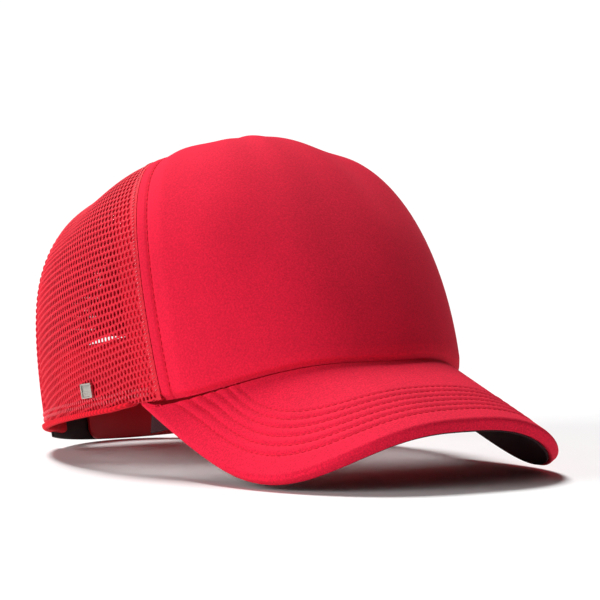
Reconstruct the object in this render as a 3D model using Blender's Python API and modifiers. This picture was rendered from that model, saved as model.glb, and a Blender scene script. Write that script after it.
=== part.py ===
"""Trucker mesh cap: foam front panel, four mesh panels, layered visor and a two-part snap strap.

Millimetres inside, metres in the model. +Z is up, the visor points to -Y, the wearer's left is +X.
The cap stands on the visor's two tips and on the snap strap's foot, which touch Z = 0.
Angles go round the crown from 0 at the front through +90 at the wearer's left to 180 at the rear.
"""
import math

import bmesh
import bpy
from mathutils import Matrix, Vector

MM = 0.001

# Crown outline in plan, at the bottom edge
CROWN_WIDTH = 168.0
CROWN_FRONT = 106.0
CROWN_REAR = 103.0
PLAN_POWER_FRONT = 2.0
PLAN_POWER_REAR = 1.85

# Crown height and the button's place
APEX_HEIGHT = 130.0
APEX_BEHIND_CENTRE = 18.0
REAR_EDGE_HEIGHT = 3.2
EDGE_RISE = 0.185
EDGE_BLEND = 1.5
EDGE_FADE = 15.0

# Meridian shape at the front, side and rear: how upright it starts, how far it
# leans in, how wide its shoulder is and how far the shoulder stands over the button
UPRIGHT = (0.625, 0.761, 0.714)
LEAN = (0.174, -0.119, -0.171)
SHOULDER_WIDTH = (0.363, 0.775, 0.929)
SHOULDER_RISE = (0.409, 0.103, -0.202)

# Visor
VISOR_SIDE_INSET = 5.0
VISOR_HALF_WIDTH = CROWN_WIDTH / 2.0 - VISOR_SIDE_INSET
VISOR_REACH = 162.0
VISOR_WIDEST = 70.0
VISOR_SQUARENESS = 3.0
VISOR_END = 35.0
VISOR_PITCH = 0.353
VISOR_ARCH_DROP = 48.0
VISOR_ARCH_INSET = 4.0
VISOR_ARCH_HALF_SPAN = CROWN_WIDTH / 2.0 - VISOR_ARCH_INSET
VISOR_ARCH_POWER = 2.7
VISOR_EDGE_RADIUS = 1.6
VISOR_COVER = 0.8
VISOR_FOAM = 2.0
VISOR_BOARD = 1.6
VISOR_UNDER = 0.7
VISOR_LAYER_GAP = 0.5
VISOR_CORNER_TRIM = 3.0
VISOR_LAYER_END = 1.2

# Panels, seams and linings
PANEL_FACE = 0.8
PANEL_FOAM = 3.0
MESH = 1.0
TAPE = 0.6
TAPE_WIDTH = 16.0
FRONT_TAPE_SHIFT = 3.5
SEAM_GAP = 0.5
LAYER_GAP = 0.3
LINING_GAP = 0.6
FOAM_SEAM_MARGIN = 7.0
CROWN_VISOR_GAP = 0.5
FRONT_SEAM_ANGLE = 63.2
FRONT_SEAM_SWEEP = 28.0
FRONT_SEAM_CURL = 20.0
SIDE_SEAM_ANGLE = 118.0
SIDE_SEAM_SWEEP = 26.0
PANEL_TOP = 0.975
FOAM_TOP = 0.90
TAPE_TOP = 0.80
BAND_THICKNESS = 1.2
BAND_HEIGHT = 32.0
BAND_OVERHANG = 0.9

# Rear opening and snap strap
ARCH_HALF_WIDTH = 46.0
ARCH_HEIGHT = 50.0
BINDING_RADIUS = 1.1
STRAP_THICKNESS = 1.2
STRAP_HEIGHT = 20.0
BINDING_STRAP_GAP = 7.0
HINGE_X = 41.0
HINGE_GAP = 1.6
TAB_END_X = 58.0
PEG_PITCH = 8.0
PEG_COUNT = 7
PEG_ENGAGED = 5
HOLE_COUNT = 5
PEG_RADIUS = 1.6
PEG_LENGTH = 2.2
HOLE_HALF_LENGTH = 3.0
HOLE_HALF_HEIGHT = 2.2
STRAP_END_MARGIN = 6.0

# Top button
BUTTON_RADIUS = 7.5
BUTTON_HEIGHT = 3.6
BUTTON_STANDOFF = 2.4
RIVET_RADIUS = 1.5
RIVET_HEAD_RADIUS = 3.2
WASHER_RADIUS = 6.0
BUTTON_TILT = 28.0

# Badge on the wearer's right
BADGE_ANGLE = -86.6
BADGE_CENTRE_ABOVE_EDGE = 10.6
BADGE_WIDTH = 7.5
BADGE_HEIGHT = 6.4
BADGE_THICKNESS = 0.8
PRONG_RADIUS = 0.7
PRONG_HOLE_RADIUS = 1.1
PRONG_SPACING = 4.0

VISOR_STACK = VISOR_COVER + VISOR_FOAM + VISOR_BOARD + VISOR_UNDER + 3.0 * VISOR_LAYER_GAP
STRAP_MIDDLE = STRAP_HEIGHT / 2 - REAR_EDGE_HEIGHT
HOLE_DEPTH = MESH + LAYER_GAP
PEG_DEPTH = HOLE_DEPTH + STRAP_THICKNESS + LAYER_GAP
STRAP_BAND_DEPTH = PEG_DEPTH + STRAP_THICKNESS + LAYER_GAP
FOAM_DEPTH = PANEL_FACE + LINING_GAP
FOAM_BAND_DEPTH = FOAM_DEPTH + PANEL_FOAM + LINING_GAP
TAPE_DEPTH = MESH + LINING_GAP
SIDE_BAND_DEPTH = TAPE_DEPTH + TAPE + LINING_GAP


# ---------------------------------------------------------------- surface of the cap

def smooth_step(value, low, high):
    """Smooth ramp from 0 at low to 1 at high."""
    x = min(1.0, max(0.0, (value - low) / (high - low)))
    return x * x * (3 - 2 * x)


def around(angle, values):
    """Blend front, side and rear values by the angle round the crown."""
    front, side, rear = values
    c = math.cos(angle)
    return side + (front - rear) / 2 * c + ((front + rear) / 2 - side) * c * c


def plan_outline(angle):
    """Crown outline in plan, centred on the crown."""
    s, c = math.sin(angle), math.cos(angle)
    front_share = 0.5 + 0.5 * math.tanh(3.0 * c)
    power = PLAN_POWER_REAR + (PLAN_POWER_FRONT - PLAN_POWER_REAR) * front_share
    reach = CROWN_FRONT if c > 0 else CROWN_REAR
    x = CROWN_WIDTH / 2 * math.copysign(abs(s) ** (2 / power), s)
    y = -reach * math.copysign(abs(c) ** (2 / power), c)
    return Vector((x, y))


def plan_inset(angle, inset):
    """Point inset from the crown outline, square to it."""
    step = 0.01
    along = (plan_outline(angle + step) - plan_outline(angle - step)).normalized()
    outward = Vector((along.y, -along.x))
    return plan_outline(angle) - outward * inset


def visor_drop(x, y):
    """Height of the visor's top against its root at the centre."""
    arch = VISOR_ARCH_DROP * (abs(x) / VISOR_ARCH_HALF_SPAN) ** VISOR_ARCH_POWER
    return VISOR_PITCH * (y + CROWN_FRONT) - arch


def visor_normal(x, y):
    """Upward normal of the visor's top."""
    step = 0.05
    dx = (visor_drop(x + step, y) - visor_drop(x - step, y)) / (2 * step)
    dy = (visor_drop(x, y + step) - visor_drop(x, y - step)) / (2 * step)
    return Vector((-dx, -dy, 1.0)).normalized()


def visor_outline(s):
    """Visor's outer edge in plan: s runs from -1.5 at one temple to 1.5 at the other."""
    side = abs(s)
    if side <= 1.0:
        a = side * math.pi / 2
        n = VISOR_SQUARENESS
        r = (abs(math.sin(a)) ** n + abs(math.cos(a)) ** n) ** (-1 / n)
        x = VISOR_HALF_WIDTH * r * math.sin(a)
        y = -VISOR_WIDEST - (VISOR_REACH - VISOR_WIDEST) * r * math.cos(a)
    else:
        g = (side - 1.0) / 0.5
        x = VISOR_HALF_WIDTH + (temple_x() - VISOR_HALF_WIDTH) * g ** 1.6
        y = -VISOR_WIDEST + (VISOR_WIDEST - VISOR_END) * g
    return Vector((math.copysign(x, s), y))


def outline_outward(s):
    """Plan direction that points out of the visor's edge."""
    step = 0.01
    low, high = max(-1.5, s - step), min(1.5, s + step)
    along = (visor_outline(high) - visor_outline(low)).normalized()
    return Vector((along.y, -along.x))


def temple_angle():
    """Angle round the crown where the visor ends."""
    return math.acos((VISOR_END / CROWN_FRONT) ** (PLAN_POWER_FRONT / 2))


def temple_x():
    """Half width of the visor where it meets the crown."""
    return plan_outline(temple_angle()).x - 1.0


def visor_root_height():
    """Height of the visor's root that sets its two tips on the floor."""
    low = 0.0
    for i in range(61):
        p = visor_outline(i / 40)
        low = min(low, visor_drop(p.x, p.y) - VISOR_STACK * visor_normal(p.x, p.y).z)
    return -low


ROOT_HEIGHT = visor_root_height()


def edge_height(angle):
    """Height of the crown's bottom edge: over the visor in front, a slope behind it."""
    p = plan_inset(angle, PANEL_FACE)
    over_visor = ROOT_HEIGHT + visor_drop(p.x, p.y) + CROWN_VISOR_GAP
    slope = REAR_EDGE_HEIGHT + EDGE_RISE * (CROWN_REAR - p.y)
    gap = over_visor - slope
    lift = (gap + math.sqrt(gap * gap + EDGE_BLEND * EDGE_BLEND)) / 2
    return slope + lift * (1.0 - smooth_step(p.y, -VISOR_END, -VISOR_END + EDGE_FADE))


def crown_surface(angle, t):
    """Outer surface of the crown: t is 0 at the bottom edge and 1 at the button."""
    base = plan_outline(angle)
    low = edge_height(angle)
    rise = APEX_HEIGHT - low
    upright, lean = around(angle, UPRIGHT), around(angle, LEAN)
    width, over = around(angle, SHOULDER_WIDTH), around(angle, SHOULDER_RISE)
    b0, b1, b2, b3 = (1 - t) ** 3, 3 * t * (1 - t) ** 2, 3 * t * t * (1 - t), t ** 3
    r = b0 + b1 * (1 - lean) + b2 * width
    h = b1 * upright + b2 * (1 + over) + b3
    y = APEX_BEHIND_CENTRE + (base.y - APEX_BEHIND_CENTRE) * r
    return Vector((base.x * r, y, low + rise * h))


def crown_normal(angle, t):
    """Outward normal of the crown."""
    step = 0.004
    across = crown_surface(angle + step, t) - crown_surface(angle - step, t)
    up = crown_surface(angle, t + step) - crown_surface(angle, t - step)
    return across.cross(up).normalized()


def crown_point(angle, t, depth):
    """Point at a depth inside the crown's outer surface."""
    return crown_surface(angle, t) - crown_normal(angle, t) * depth


def t_at_height(angle, above_edge):
    """Meridian parameter at a small height above the bottom edge."""
    rise = APEX_HEIGHT - edge_height(angle)
    return above_edge / (3 * around(angle, UPRIGHT) * rise)


def rear_place(x, z):
    """Angle and t on the rear of the crown at a given x and z."""
    ratio, t = 1.0, 0.0
    angle = math.pi
    for _ in range(6):
        s = min(1.0, abs(x) / ratio / (CROWN_WIDTH / 2)) ** (PLAN_POWER_REAR / 2)
        angle = math.pi - math.asin(s)
        t += (z - crown_surface(angle, t).z) / (3 * around(angle, UPRIGHT) * APEX_HEIGHT)
        ratio = crown_surface(angle, t).x / max(plan_outline(angle).x, 1e-6) if s > 1e-4 else 1.0
    return math.copysign(angle, x) if x else angle, t


def rear_point(x, z, depth):
    """Point on the rear of the crown at a given x, z and depth."""
    angle, t = rear_place(x, z)
    return crown_point(angle, t, depth)


def strap_point(x, above, depth):
    """Point on the rear of the crown at a given x and height above its bottom edge."""
    edge = edge_height(rear_place(x, REAR_EDGE_HEIGHT)[0])
    return rear_point(x, edge + above, depth)


REAR_REACH = max(crown_surface(math.pi, i / 60).y for i in range(61))
CENTRE_Y = (VISOR_REACH - REAR_REACH) / 2


def world(p):
    """Millimetres about the crown's centre to metres about the cap's middle."""
    return Vector((p[0], p[1] + CENTRE_Y, p[2])) * MM


# ---------------------------------------------------------------- Blender helpers

def clear_scene():
    """Remove every object and the collections of an earlier run."""
    for obj in list(bpy.data.objects):
        bpy.data.objects.remove(obj, do_unlink=True)
    for name in ("trucker_mesh_cap", "cutters"):
        if name in bpy.data.collections:
            bpy.data.collections.remove(bpy.data.collections[name])


def new_collection(name):
    """Make a collection in the scene."""
    collection = bpy.data.collections.new(name)
    bpy.context.scene.collection.children.link(collection)
    return collection


clear_scene()
PARTS = new_collection("trucker_mesh_cap")
CUTTERS = new_collection("cutters")


def material(name, color, roughness, metallic=0.0):
    """Principled material for one piece."""
    mat = bpy.data.materials.new(name)
    mat.use_nodes = True
    shader = mat.node_tree.nodes["Principled BSDF"]
    shader.inputs["Base Color"].default_value = (*color, 1.0)
    shader.inputs["Roughness"].default_value = roughness
    shader.inputs["Metallic"].default_value = metallic
    return mat


RED_KNIT = (0.78, 0.012, 0.045)
RED_MESH = (0.85, 0.022, 0.07)
RED_BAND = (0.62, 0.01, 0.03)
RED_FOAM = (0.30, 0.006, 0.012)
BLACK = (0.012, 0.008, 0.010)
RED_STRAP = (0.42, 0.008, 0.018)
STEEL = (0.55, 0.53, 0.50)


def add_object(name, bm, color, roughness, metallic=0.0, origin=None, cutter=False):
    """Link a bmesh as an object whose origin is a point in millimetres."""
    place = world(origin) if origin is not None else Vector((0, 0, 0))
    bmesh.ops.translate(bm, verts=bm.verts, vec=-place)
    mesh = bpy.data.meshes.new(name)
    bm.to_mesh(mesh)
    bm.free()
    mesh.shade_smooth()
    mesh.set_sharp_from_angle(angle=math.radians(40))
    obj = bpy.data.objects.new(name, mesh)
    obj.location = place
    if cutter:
        obj.hide_render = True
        obj.display_type = "WIRE"
        CUTTERS.objects.link(obj)
    else:
        mesh.materials.append(material(name, color, roughness, metallic))
        PARTS.objects.link(obj)
    return obj


def solidify(obj, thickness, even):
    """Thicken an open surface inwards, evenly at its bends where they are gentle."""
    mod = obj.modifiers.new("thickness", "SOLIDIFY")
    mod.thickness = thickness * MM
    mod.offset = -1.0
    mod.use_even_offset = even


def boolean(obj, cutter, operation="DIFFERENCE"):
    """Cut or join with another object."""
    mod = obj.modifiers.new(operation.lower(), "BOOLEAN")
    mod.object = cutter
    mod.operation = operation
    mod.solver = "EXACT"
    return mod


def sheet(name, columns, rows, place, thickness, color, roughness, origin=None, even=True):
    """Shell from a grid: place(u, v) gives its outer surface for u and v in 0..1."""
    bm = bmesh.new()
    bmesh.ops.create_grid(bm, x_segments=columns, y_segments=rows, size=0.5)
    for vert in bm.verts:
        vert.co = world(place(vert.co.x + 0.5, vert.co.y + 0.5))
    obj = add_object(name, bm, color, roughness, origin=origin)
    solidify(obj, thickness, even)
    return obj


def frame_at(centre, outward, up=Vector((0, 0, 1))):
    """Matrix whose Z is outward and whose Y is close to up."""
    z = outward.normalized()
    x = up.cross(z).normalized()
    y = z.cross(x)
    matrix = Matrix((x, y, z)).transposed().to_4x4()
    matrix.translation = world(centre)
    return matrix


def turned(name, profile, matrix, color, roughness, metallic=0.0, steps=20):
    """Turned piece: the profile lists (radius, height) down its outer side, top to bottom."""
    bm = bmesh.new()
    points = [bm.verts.new((r * MM, 0.0, h * MM)) for r, h in profile]
    for a, b in zip(points, points[1:]):
        bm.edges.new((a, b))
    obj = add_object(name, bm, color, roughness, metallic)
    obj.matrix_world = matrix
    mod = obj.modifiers.new("turn", "SCREW")
    mod.steps = steps
    mod.render_steps = steps
    mod.use_merge_vertices = True
    mod.merge_threshold = 0.00001
    return obj


# ---------------------------------------------------------------- crown

def front_seam(t):
    """Angle of the seam between the front panel and the side mesh."""
    return math.radians(FRONT_SEAM_ANGLE + FRONT_SEAM_SWEEP * t + FRONT_SEAM_CURL * t ** 5)


def side_seam(t):
    """Angle of the seam between the side mesh and the rear mesh."""
    return math.radians(SIDE_SEAM_ANGLE + SIDE_SEAM_SWEEP * t)


def rear_seam(t):
    """Angle of the centre seam at the rear, the same at every height."""
    return math.pi


def arc_angle(angle, t, length):
    """Angle that a length along the crown's circumference covers."""
    step = 0.02
    run = (crown_surface(angle + step, t) - crown_surface(angle - step, t)).length
    return length * 2 * step / run


def between(first, second, margin_first, margin_second, top):
    """Panel surface between two seams, with a margin in millimetres at each."""
    def place(u, v):
        t = v * top
        a, b = first(t), second(t)
        a += arc_angle(a, t, margin_first)
        b -= arc_angle(b, t, margin_second)
        return crown_surface(a + (b - a) * u, t)
    return place


def mirrored(place):
    """The same surface on the wearer's right, with its faces still outwards."""
    def other(u, v):
        p = place(1.0 - u, v)
        return Vector((-p.x, p.y, p.z))
    return other


def build_front_panel():
    """Knit face of the front panel and the foam laminated behind it."""
    def face(u, v):
        t = v * PANEL_TOP
        edge = front_seam(t) - arc_angle(front_seam(t), t, SEAM_GAP / 2)
        return crown_surface(edge * (2 * u - 1), t)

    def foam(u, v):
        t = v * FOAM_TOP
        edge = front_seam(t) - arc_angle(front_seam(t), t, FOAM_SEAM_MARGIN)
        return crown_point(edge * (2 * u - 1), t, FOAM_DEPTH)

    sheet("front_panel_face", 26, 16, face, PANEL_FACE, RED_KNIT, 0.9)
    sheet("front_panel_foam", 22, 14, foam, PANEL_FOAM, RED_FOAM, 0.95)


def build_mesh_panels():
    """Side and rear mesh panels on both sides, the rear ones cut by the arch."""
    half = SEAM_GAP / 2
    side = between(front_seam, side_seam, half, half, PANEL_TOP)
    rear = between(side_seam, rear_seam, half, half, PANEL_TOP)
    panels = {
        "side_mesh_left": sheet("side_mesh_left", 9, 16, side, MESH, RED_MESH, 0.8),
        "side_mesh_right": sheet("side_mesh_right", 9, 16, mirrored(side), MESH, RED_MESH, 0.8),
        "rear_mesh_left": sheet("rear_mesh_left", 10, 16, rear, MESH, RED_MESH, 0.8),
        "rear_mesh_right": sheet("rear_mesh_right", 10, 16, mirrored(rear), MESH, RED_MESH, 0.8),
    }
    arch = arch_cutter()
    boolean(panels["rear_mesh_left"], arch)
    boolean(panels["rear_mesh_right"], arch)
    return panels


def arch_cutter():
    """Elliptical bar that cuts the adjusting arch out of the rear panels."""
    bm = bmesh.new()
    depth = CROWN_REAR
    bmesh.ops.create_cone(bm, cap_ends=True, segments=40, radius1=1.0, radius2=1.0, depth=depth * MM)
    turn = Matrix.Rotation(math.radians(90), 4, "X")
    size = Matrix.Diagonal((ARCH_HALF_WIDTH * MM, ARCH_HEIGHT * MM, 1.0, 1.0))
    bm.transform(Matrix.Translation(world((0, CROWN_REAR, 0))) @ turn @ size)
    return add_object("arch_cutter", bm, BLACK, 0.5, cutter=True)


def seam_tape(name, seam, bottom, shift=0.0, mirror=False):
    """Tape that covers a seam on the inside, shifted towards the rear to clear the foam."""
    def place(u, v):
        t = bottom + (TAPE_TOP - bottom) * v
        angle = seam(t)
        angle += arc_angle(angle, t, shift + TAPE_WIDTH * (u - 0.5))
        return crown_point(angle, t, TAPE_DEPTH)
    sheet(name, 4, 14, mirrored(place) if mirror else place, TAPE, RED_BAND, 0.85)


def build_seam_tapes():
    """Tapes over the five crown seams."""
    seam_tape("front_seam_tape_left", front_seam, 0.012, FRONT_TAPE_SHIFT)
    seam_tape("front_seam_tape_right", front_seam, 0.012, FRONT_TAPE_SHIFT, mirror=True)
    seam_tape("side_seam_tape_left", side_seam, 0.012)
    seam_tape("side_seam_tape_right", side_seam, 0.012, mirror=True)
    arch_top = rear_place(0.0, ARCH_HEIGHT + 2.0 * BINDING_RADIUS)[1]
    seam_tape("rear_seam_tape", rear_seam, arch_top)


def build_arch_binding():
    """Rolled binding just inside the arch, from strap top to strap top."""
    inset = BINDING_RADIUS + LAYER_GAP
    half_width, height = ARCH_HALF_WIDTH - inset, ARCH_HEIGHT - inset
    start = math.asin((STRAP_HEIGHT + BINDING_STRAP_GAP) / height)
    count = 36
    curve = bpy.data.curves.new("rear_arch_binding", "CURVE")
    curve.dimensions = "3D"
    curve.bevel_depth = BINDING_RADIUS * MM
    curve.bevel_resolution = 1
    curve.use_fill_caps = True
    spline = curve.splines.new("POLY")
    spline.points.add(count)
    for i, point in enumerate(spline.points):
        a = start + (math.pi - 2 * start) * i / count
        p = world(rear_point(half_width * math.cos(a), height * math.sin(a), MESH / 2))
        point.co = (*p, 1.0)
    obj = bpy.data.objects.new("rear_arch_binding", curve)
    curve.materials.append(material("rear_arch_binding", RED_BAND, 0.85))
    PARTS.objects.link(obj)


def band_depth(angle):
    """Depth of the sweatband: behind the foam, then the mesh, then the strap's tabs."""
    a = abs(angle)
    foam_end = front_seam(0.2) + math.radians(2)
    to_side = smooth_step(a, foam_end, foam_end + math.radians(11))
    tab_start = abs(rear_place(TAB_END_X, STRAP_HEIGHT)[0])
    to_tab = smooth_step(a, tab_start - math.radians(12), tab_start - math.radians(2))
    depth = FOAM_BAND_DEPTH + (SIDE_BAND_DEPTH - FOAM_BAND_DEPTH) * to_side
    return depth + (STRAP_BAND_DEPTH - SIDE_BAND_DEPTH) * to_tab


def build_sweatband():
    """Sweatband round the inside, open at the arch, hanging just below the edge."""
    end = abs(rear_place(ARCH_HALF_WIDTH - 1.0, 0.0)[0])
    behind_visor = temple_angle() + math.radians(2)

    def place(u, v):
        angle = end * (2 * u - 1)
        overhang = BAND_OVERHANG * smooth_step(abs(angle), behind_visor, behind_visor + math.radians(12))
        above = -overhang + (BAND_HEIGHT + overhang) * v
        return crown_point(angle, t_at_height(angle, above), band_depth(angle))

    sheet("sweatband", 64, 2, place, BAND_THICKNESS, RED_BAND, 0.85)


# ---------------------------------------------------------------- visor

def visor_root(angle, depth):
    """Plan point of a visor layer whose root ends under the crown's edge."""
    target = plan_inset(angle, PANEL_FACE)
    base = target.copy()
    for _ in range(4):
        n = visor_normal(base.x, base.y)
        base = target + Vector((n.x, n.y)) * depth
    return base


def visor_layer(depth, inset, end=1.5):
    """Surface of a visor layer at a depth, inset from the visor's outer edge."""
    last = temple_angle() - math.radians(VISOR_CORNER_TRIM)

    def place(u, v):
        s = end * (1.0 - 2.0 * u)
        root = visor_root(last * s / 1.5, depth)
        edge = visor_outline(s) - outline_outward(s) * inset
        p = root.lerp(edge, v)
        n = visor_normal(p.x, p.y)
        return Vector((p.x, p.y, ROOT_HEIGHT + visor_drop(p.x, p.y))) - n * depth
    return place


def visor_cover_surface(columns_flat, columns_rim):
    """Top cover: flat part, rounded edge and the rim turned down round the layers."""
    flat = visor_layer(0.0, VISOR_EDGE_RADIUS)
    share = columns_flat / (columns_flat + columns_rim)

    def place(u, v):
        if v <= share:
            return flat(u, v / share)
        s = 1.5 - 3.0 * u
        edge = flat(u, 1.0)
        n = visor_normal(edge.x, edge.y)
        out = outline_outward(s).to_3d()
        out = (out - n * out.dot(n)).normalized()
        w = (v - share) / (1 - share) * columns_rim
        a = min(w, 2.0) * math.pi / 4
        down = VISOR_EDGE_RADIUS * (1 - math.cos(a))
        down += max(0.0, w - 2.0) * (VISOR_STACK - VISOR_EDGE_RADIUS)
        return edge + out * VISOR_EDGE_RADIUS * math.sin(a) - n * down
    return place


def build_visor():
    """Visor from the top down: cover with its rim, foam, stiff board and under cover."""
    sheet("visor_top_cover", 34, 12, visor_cover_surface(9, 3), VISOR_COVER, RED_KNIT, 0.9,
          even=False)
    inset = VISOR_COVER + 2.0 * VISOR_LAYER_GAP
    depth = VISOR_COVER + VISOR_LAYER_GAP
    layers = (
        ("visor_top_foam", VISOR_FOAM, RED_FOAM, 0.95),
        ("visor_board", VISOR_BOARD, (0.75, 0.75, 0.72), 0.5),
        ("visor_under_cover", VISOR_UNDER, BLACK, 0.85),
    )
    for name, thickness, color, roughness in layers:
        sheet(name, 30, 8, visor_layer(depth, inset, VISOR_LAYER_END), thickness, color, roughness)
        depth += thickness + VISOR_LAYER_GAP


# ---------------------------------------------------------------- snap strap

def strap_surface(x_low, x_high, depth):
    """Strip along the rear of the crown, its faces outwards and its foot at the floor."""
    foot = -REAR_EDGE_HEIGHT

    def place(u, v):
        return strap_point(x_high + (x_low - x_high) * u, foot + STRAP_HEIGHT * v, depth)
    return place


def hinge_point(side, depth):
    """Middle of the thin flexing line between a tab and its strap."""
    return strap_point(side * HINGE_X, STRAP_MIDDLE, depth + STRAP_THICKNESS / 2)


def peg_places():
    """X of each peg and of each hole: the engaged ones share a place."""
    first = -(PEG_ENGAGED - 1) / 2 * PEG_PITCH
    pegs = [first + PEG_PITCH * i for i in range(PEG_COUNT)]
    holes = [-x for x in pegs[:HOLE_COUNT]]
    return pegs, holes


def bars(name, places, outer_depth, inner_depth, half_length, half_height, segments):
    """Short bars square to the strap at each place."""
    bm = bmesh.new()
    for x in places:
        outer = strap_point(x, STRAP_MIDDLE, outer_depth)
        inner = strap_point(x, STRAP_MIDDLE, inner_depth)
        matrix = frame_at((outer + inner) / 2, outer - inner)
        size = Matrix.Diagonal((half_length * MM, half_height * MM, 1.0, 1.0))
        bmesh.ops.create_cone(
            bm, cap_ends=True, segments=segments, radius1=1.0, radius2=1.0,
            depth=(outer - inner).length * MM, matrix=matrix @ size)
    return add_object(name, bm, BLACK, 0.5, cutter=True)


def build_snap_strap():
    """Two tabs sewn into the cap and the two straps that snap over each other."""
    pegs, holes = peg_places()
    root = HINGE_X - HINGE_GAP / 2
    tab = HINGE_X + HINGE_GAP / 2
    free_end = max(pegs) - PEG_PITCH * (PEG_COUNT - 1) - STRAP_END_MARGIN

    tabs = (
        ("hole_strap_tab", -1, HOLE_DEPTH, BLACK),
        ("peg_strap_tab", 1, PEG_DEPTH, RED_STRAP),
    )
    for name, side, depth, color in tabs:
        low, high = sorted((side * tab, side * TAB_END_X))
        sheet(name, 6, 2, strap_surface(low, high, depth), STRAP_THICKNESS, color, 0.45)

    hole_strap = sheet("hole_strap", 24, 2, strap_surface(-root, -free_end, HOLE_DEPTH),
                       STRAP_THICKNESS, BLACK, 0.45, origin=hinge_point(-1, HOLE_DEPTH))
    boolean(hole_strap, bars("strap_holes", holes, HOLE_DEPTH - 2, PEG_DEPTH + 1,
                             HOLE_HALF_LENGTH, HOLE_HALF_HEIGHT, 14))

    peg_strap = sheet("peg_strap", 24, 2, strap_surface(free_end, root, PEG_DEPTH),
                      STRAP_THICKNESS, RED_STRAP, 0.45, origin=hinge_point(1, PEG_DEPTH))
    boolean(peg_strap, bars("strap_pegs", pegs, PEG_DEPTH - PEG_LENGTH,
                            PEG_DEPTH + STRAP_THICKNESS / 2, PEG_RADIUS, PEG_RADIUS, 12), "UNION")


# ---------------------------------------------------------------- top button and badge

def build_top_button():
    """Button over the crown's centre, held by a rivet and an inner washer."""
    tilt = math.radians(BUTTON_TILT)
    axis = Vector((0, math.sin(tilt), math.cos(tilt)))
    apex = Vector((0, APEX_BEHIND_CENTRE, APEX_HEIGHT))
    matrix = frame_at(apex, axis, up=Vector((0, 1, 0)))
    low, high = BUTTON_STANDOFF, BUTTON_STANDOFF + BUTTON_HEIGHT
    socket = RIVET_RADIUS + LAYER_GAP
    dome = [(BUTTON_RADIUS * math.sin(a), low + 1.0 + (BUTTON_HEIGHT - 1.0) * math.cos(a))
            for a in (math.radians(15 * i) for i in range(7))]
    dome[0] = (0.0, high)
    button = dome + [(BUTTON_RADIUS - 0.4, low), (socket, low), (socket, low + 2.0), (0.0, low + 2.0)]
    turned("top_button", button, matrix, RED_KNIT, 0.9)

    head_low = -4.2
    rivet = [(0.0, low + 2.0 - LAYER_GAP), (RIVET_RADIUS, low + 2.0 - LAYER_GAP),
             (RIVET_RADIUS, head_low + 1.0), (RIVET_HEAD_RADIUS, head_low + 1.0),
             (RIVET_HEAD_RADIUS, head_low), (0.0, head_low)]
    turned("top_button_rivet", rivet, matrix, STEEL, 0.3, 1.0, steps=16)

    top = head_low + 1.0 + LAYER_GAP + 1.0
    washer = [(socket, top), (WASHER_RADIUS, top), (WASHER_RADIUS, top - 1.0),
              (socket, top - 1.0), (socket, top)]
    turned("top_button_washer", washer, matrix, STEEL, 0.4, 1.0, steps=20)


def badge_frame():
    """Frame on the side mesh at the badge, Z outwards."""
    angle = math.radians(BADGE_ANGLE)
    t = t_at_height(angle, BADGE_CENTRE_ABOVE_EDGE)
    return frame_at(crown_surface(angle, t), crown_normal(angle, t))


def block(name, matrix, size, centre, color, roughness, metallic, bevel):
    """Bevelled plate in a frame, sizes in millimetres."""
    bm = bmesh.new()
    bmesh.ops.create_cube(bm, size=1.0)
    scale = Matrix.Diagonal((*(s * MM for s in size), 1.0))
    bm.transform(Matrix.Translation(Vector(centre) * MM) @ scale)
    obj = add_object(name, bm, color, roughness, metallic)
    obj.matrix_world = matrix
    mod = obj.modifiers.new("edges", "BEVEL")
    mod.width = bevel * MM
    mod.segments = 1
    return obj


def prongs(name, matrix, radius, low, high):
    """Two pins square to the badge."""
    bm = bmesh.new()
    for side in (-1, 1):
        place = Matrix.Translation(Vector((0, side * PRONG_SPACING / 2, (low + high) / 2)) * MM)
        size = Matrix.Diagonal((radius * MM, radius * MM, 1.0, 1.0))
        bmesh.ops.create_cone(bm, cap_ends=True, segments=10, radius1=1.0, radius2=1.0,
                              depth=(high - low) * MM, matrix=matrix @ place @ size)
    return add_object(name, bm, STEEL, 0.4, cutter=True)


def build_badge(side_mesh):
    """Small metal badge clinched through the side mesh onto a plate behind it."""
    matrix = badge_frame()
    back = LAYER_GAP
    clinch_top = -(MESH + 2.0 * LAYER_GAP)
    badge = block("badge_plate", matrix, (BADGE_WIDTH, BADGE_HEIGHT, BADGE_THICKNESS),
                  (0, 0, back + BADGE_THICKNESS / 2), STEEL, 0.3, 1.0, 0.2)
    tip = clinch_top + LAYER_GAP / 2
    boolean(badge, prongs("badge_prongs", matrix, PRONG_RADIUS, tip, back + BADGE_THICKNESS / 2), "UNION")
    boolean(side_mesh, prongs("prong_holes", matrix, PRONG_HOLE_RADIUS, -4.0, 4.0))
    thickness = SIDE_BAND_DEPTH - MESH - 4.0 * LAYER_GAP
    block("badge_clinch_plate", matrix, (BADGE_WIDTH - 1, BADGE_HEIGHT - 1, thickness),
          (0, 0, clinch_top - LAYER_GAP / 2 - thickness / 2), STEEL, 0.4, 1.0, 0.1)


def build_cap():
    """Build every piece of the cap."""
    build_front_panel()
    panels = build_mesh_panels()
    build_seam_tapes()
    build_arch_binding()
    build_sweatband()
    build_visor()
    build_snap_strap()
    build_top_button()
    build_badge(panels["side_mesh_right"])


build_cap()
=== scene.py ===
"""Looks of the trucker mesh cap: knit front panel, real open mesh, stitched visor and snap strap.

Shapes are worked out in millimetres about the crown's centre and placed in metres round the CAD
frame. Angles go round the crown from 0 at the front through +90 at the wearer's left to 180.
"""
import logging
import math
from dataclasses import dataclass, field
from enum import Enum
from typing import Callable, Sequence

import bmesh
import bpy
import numpy as np
from mathutils import Matrix, Vector


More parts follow.
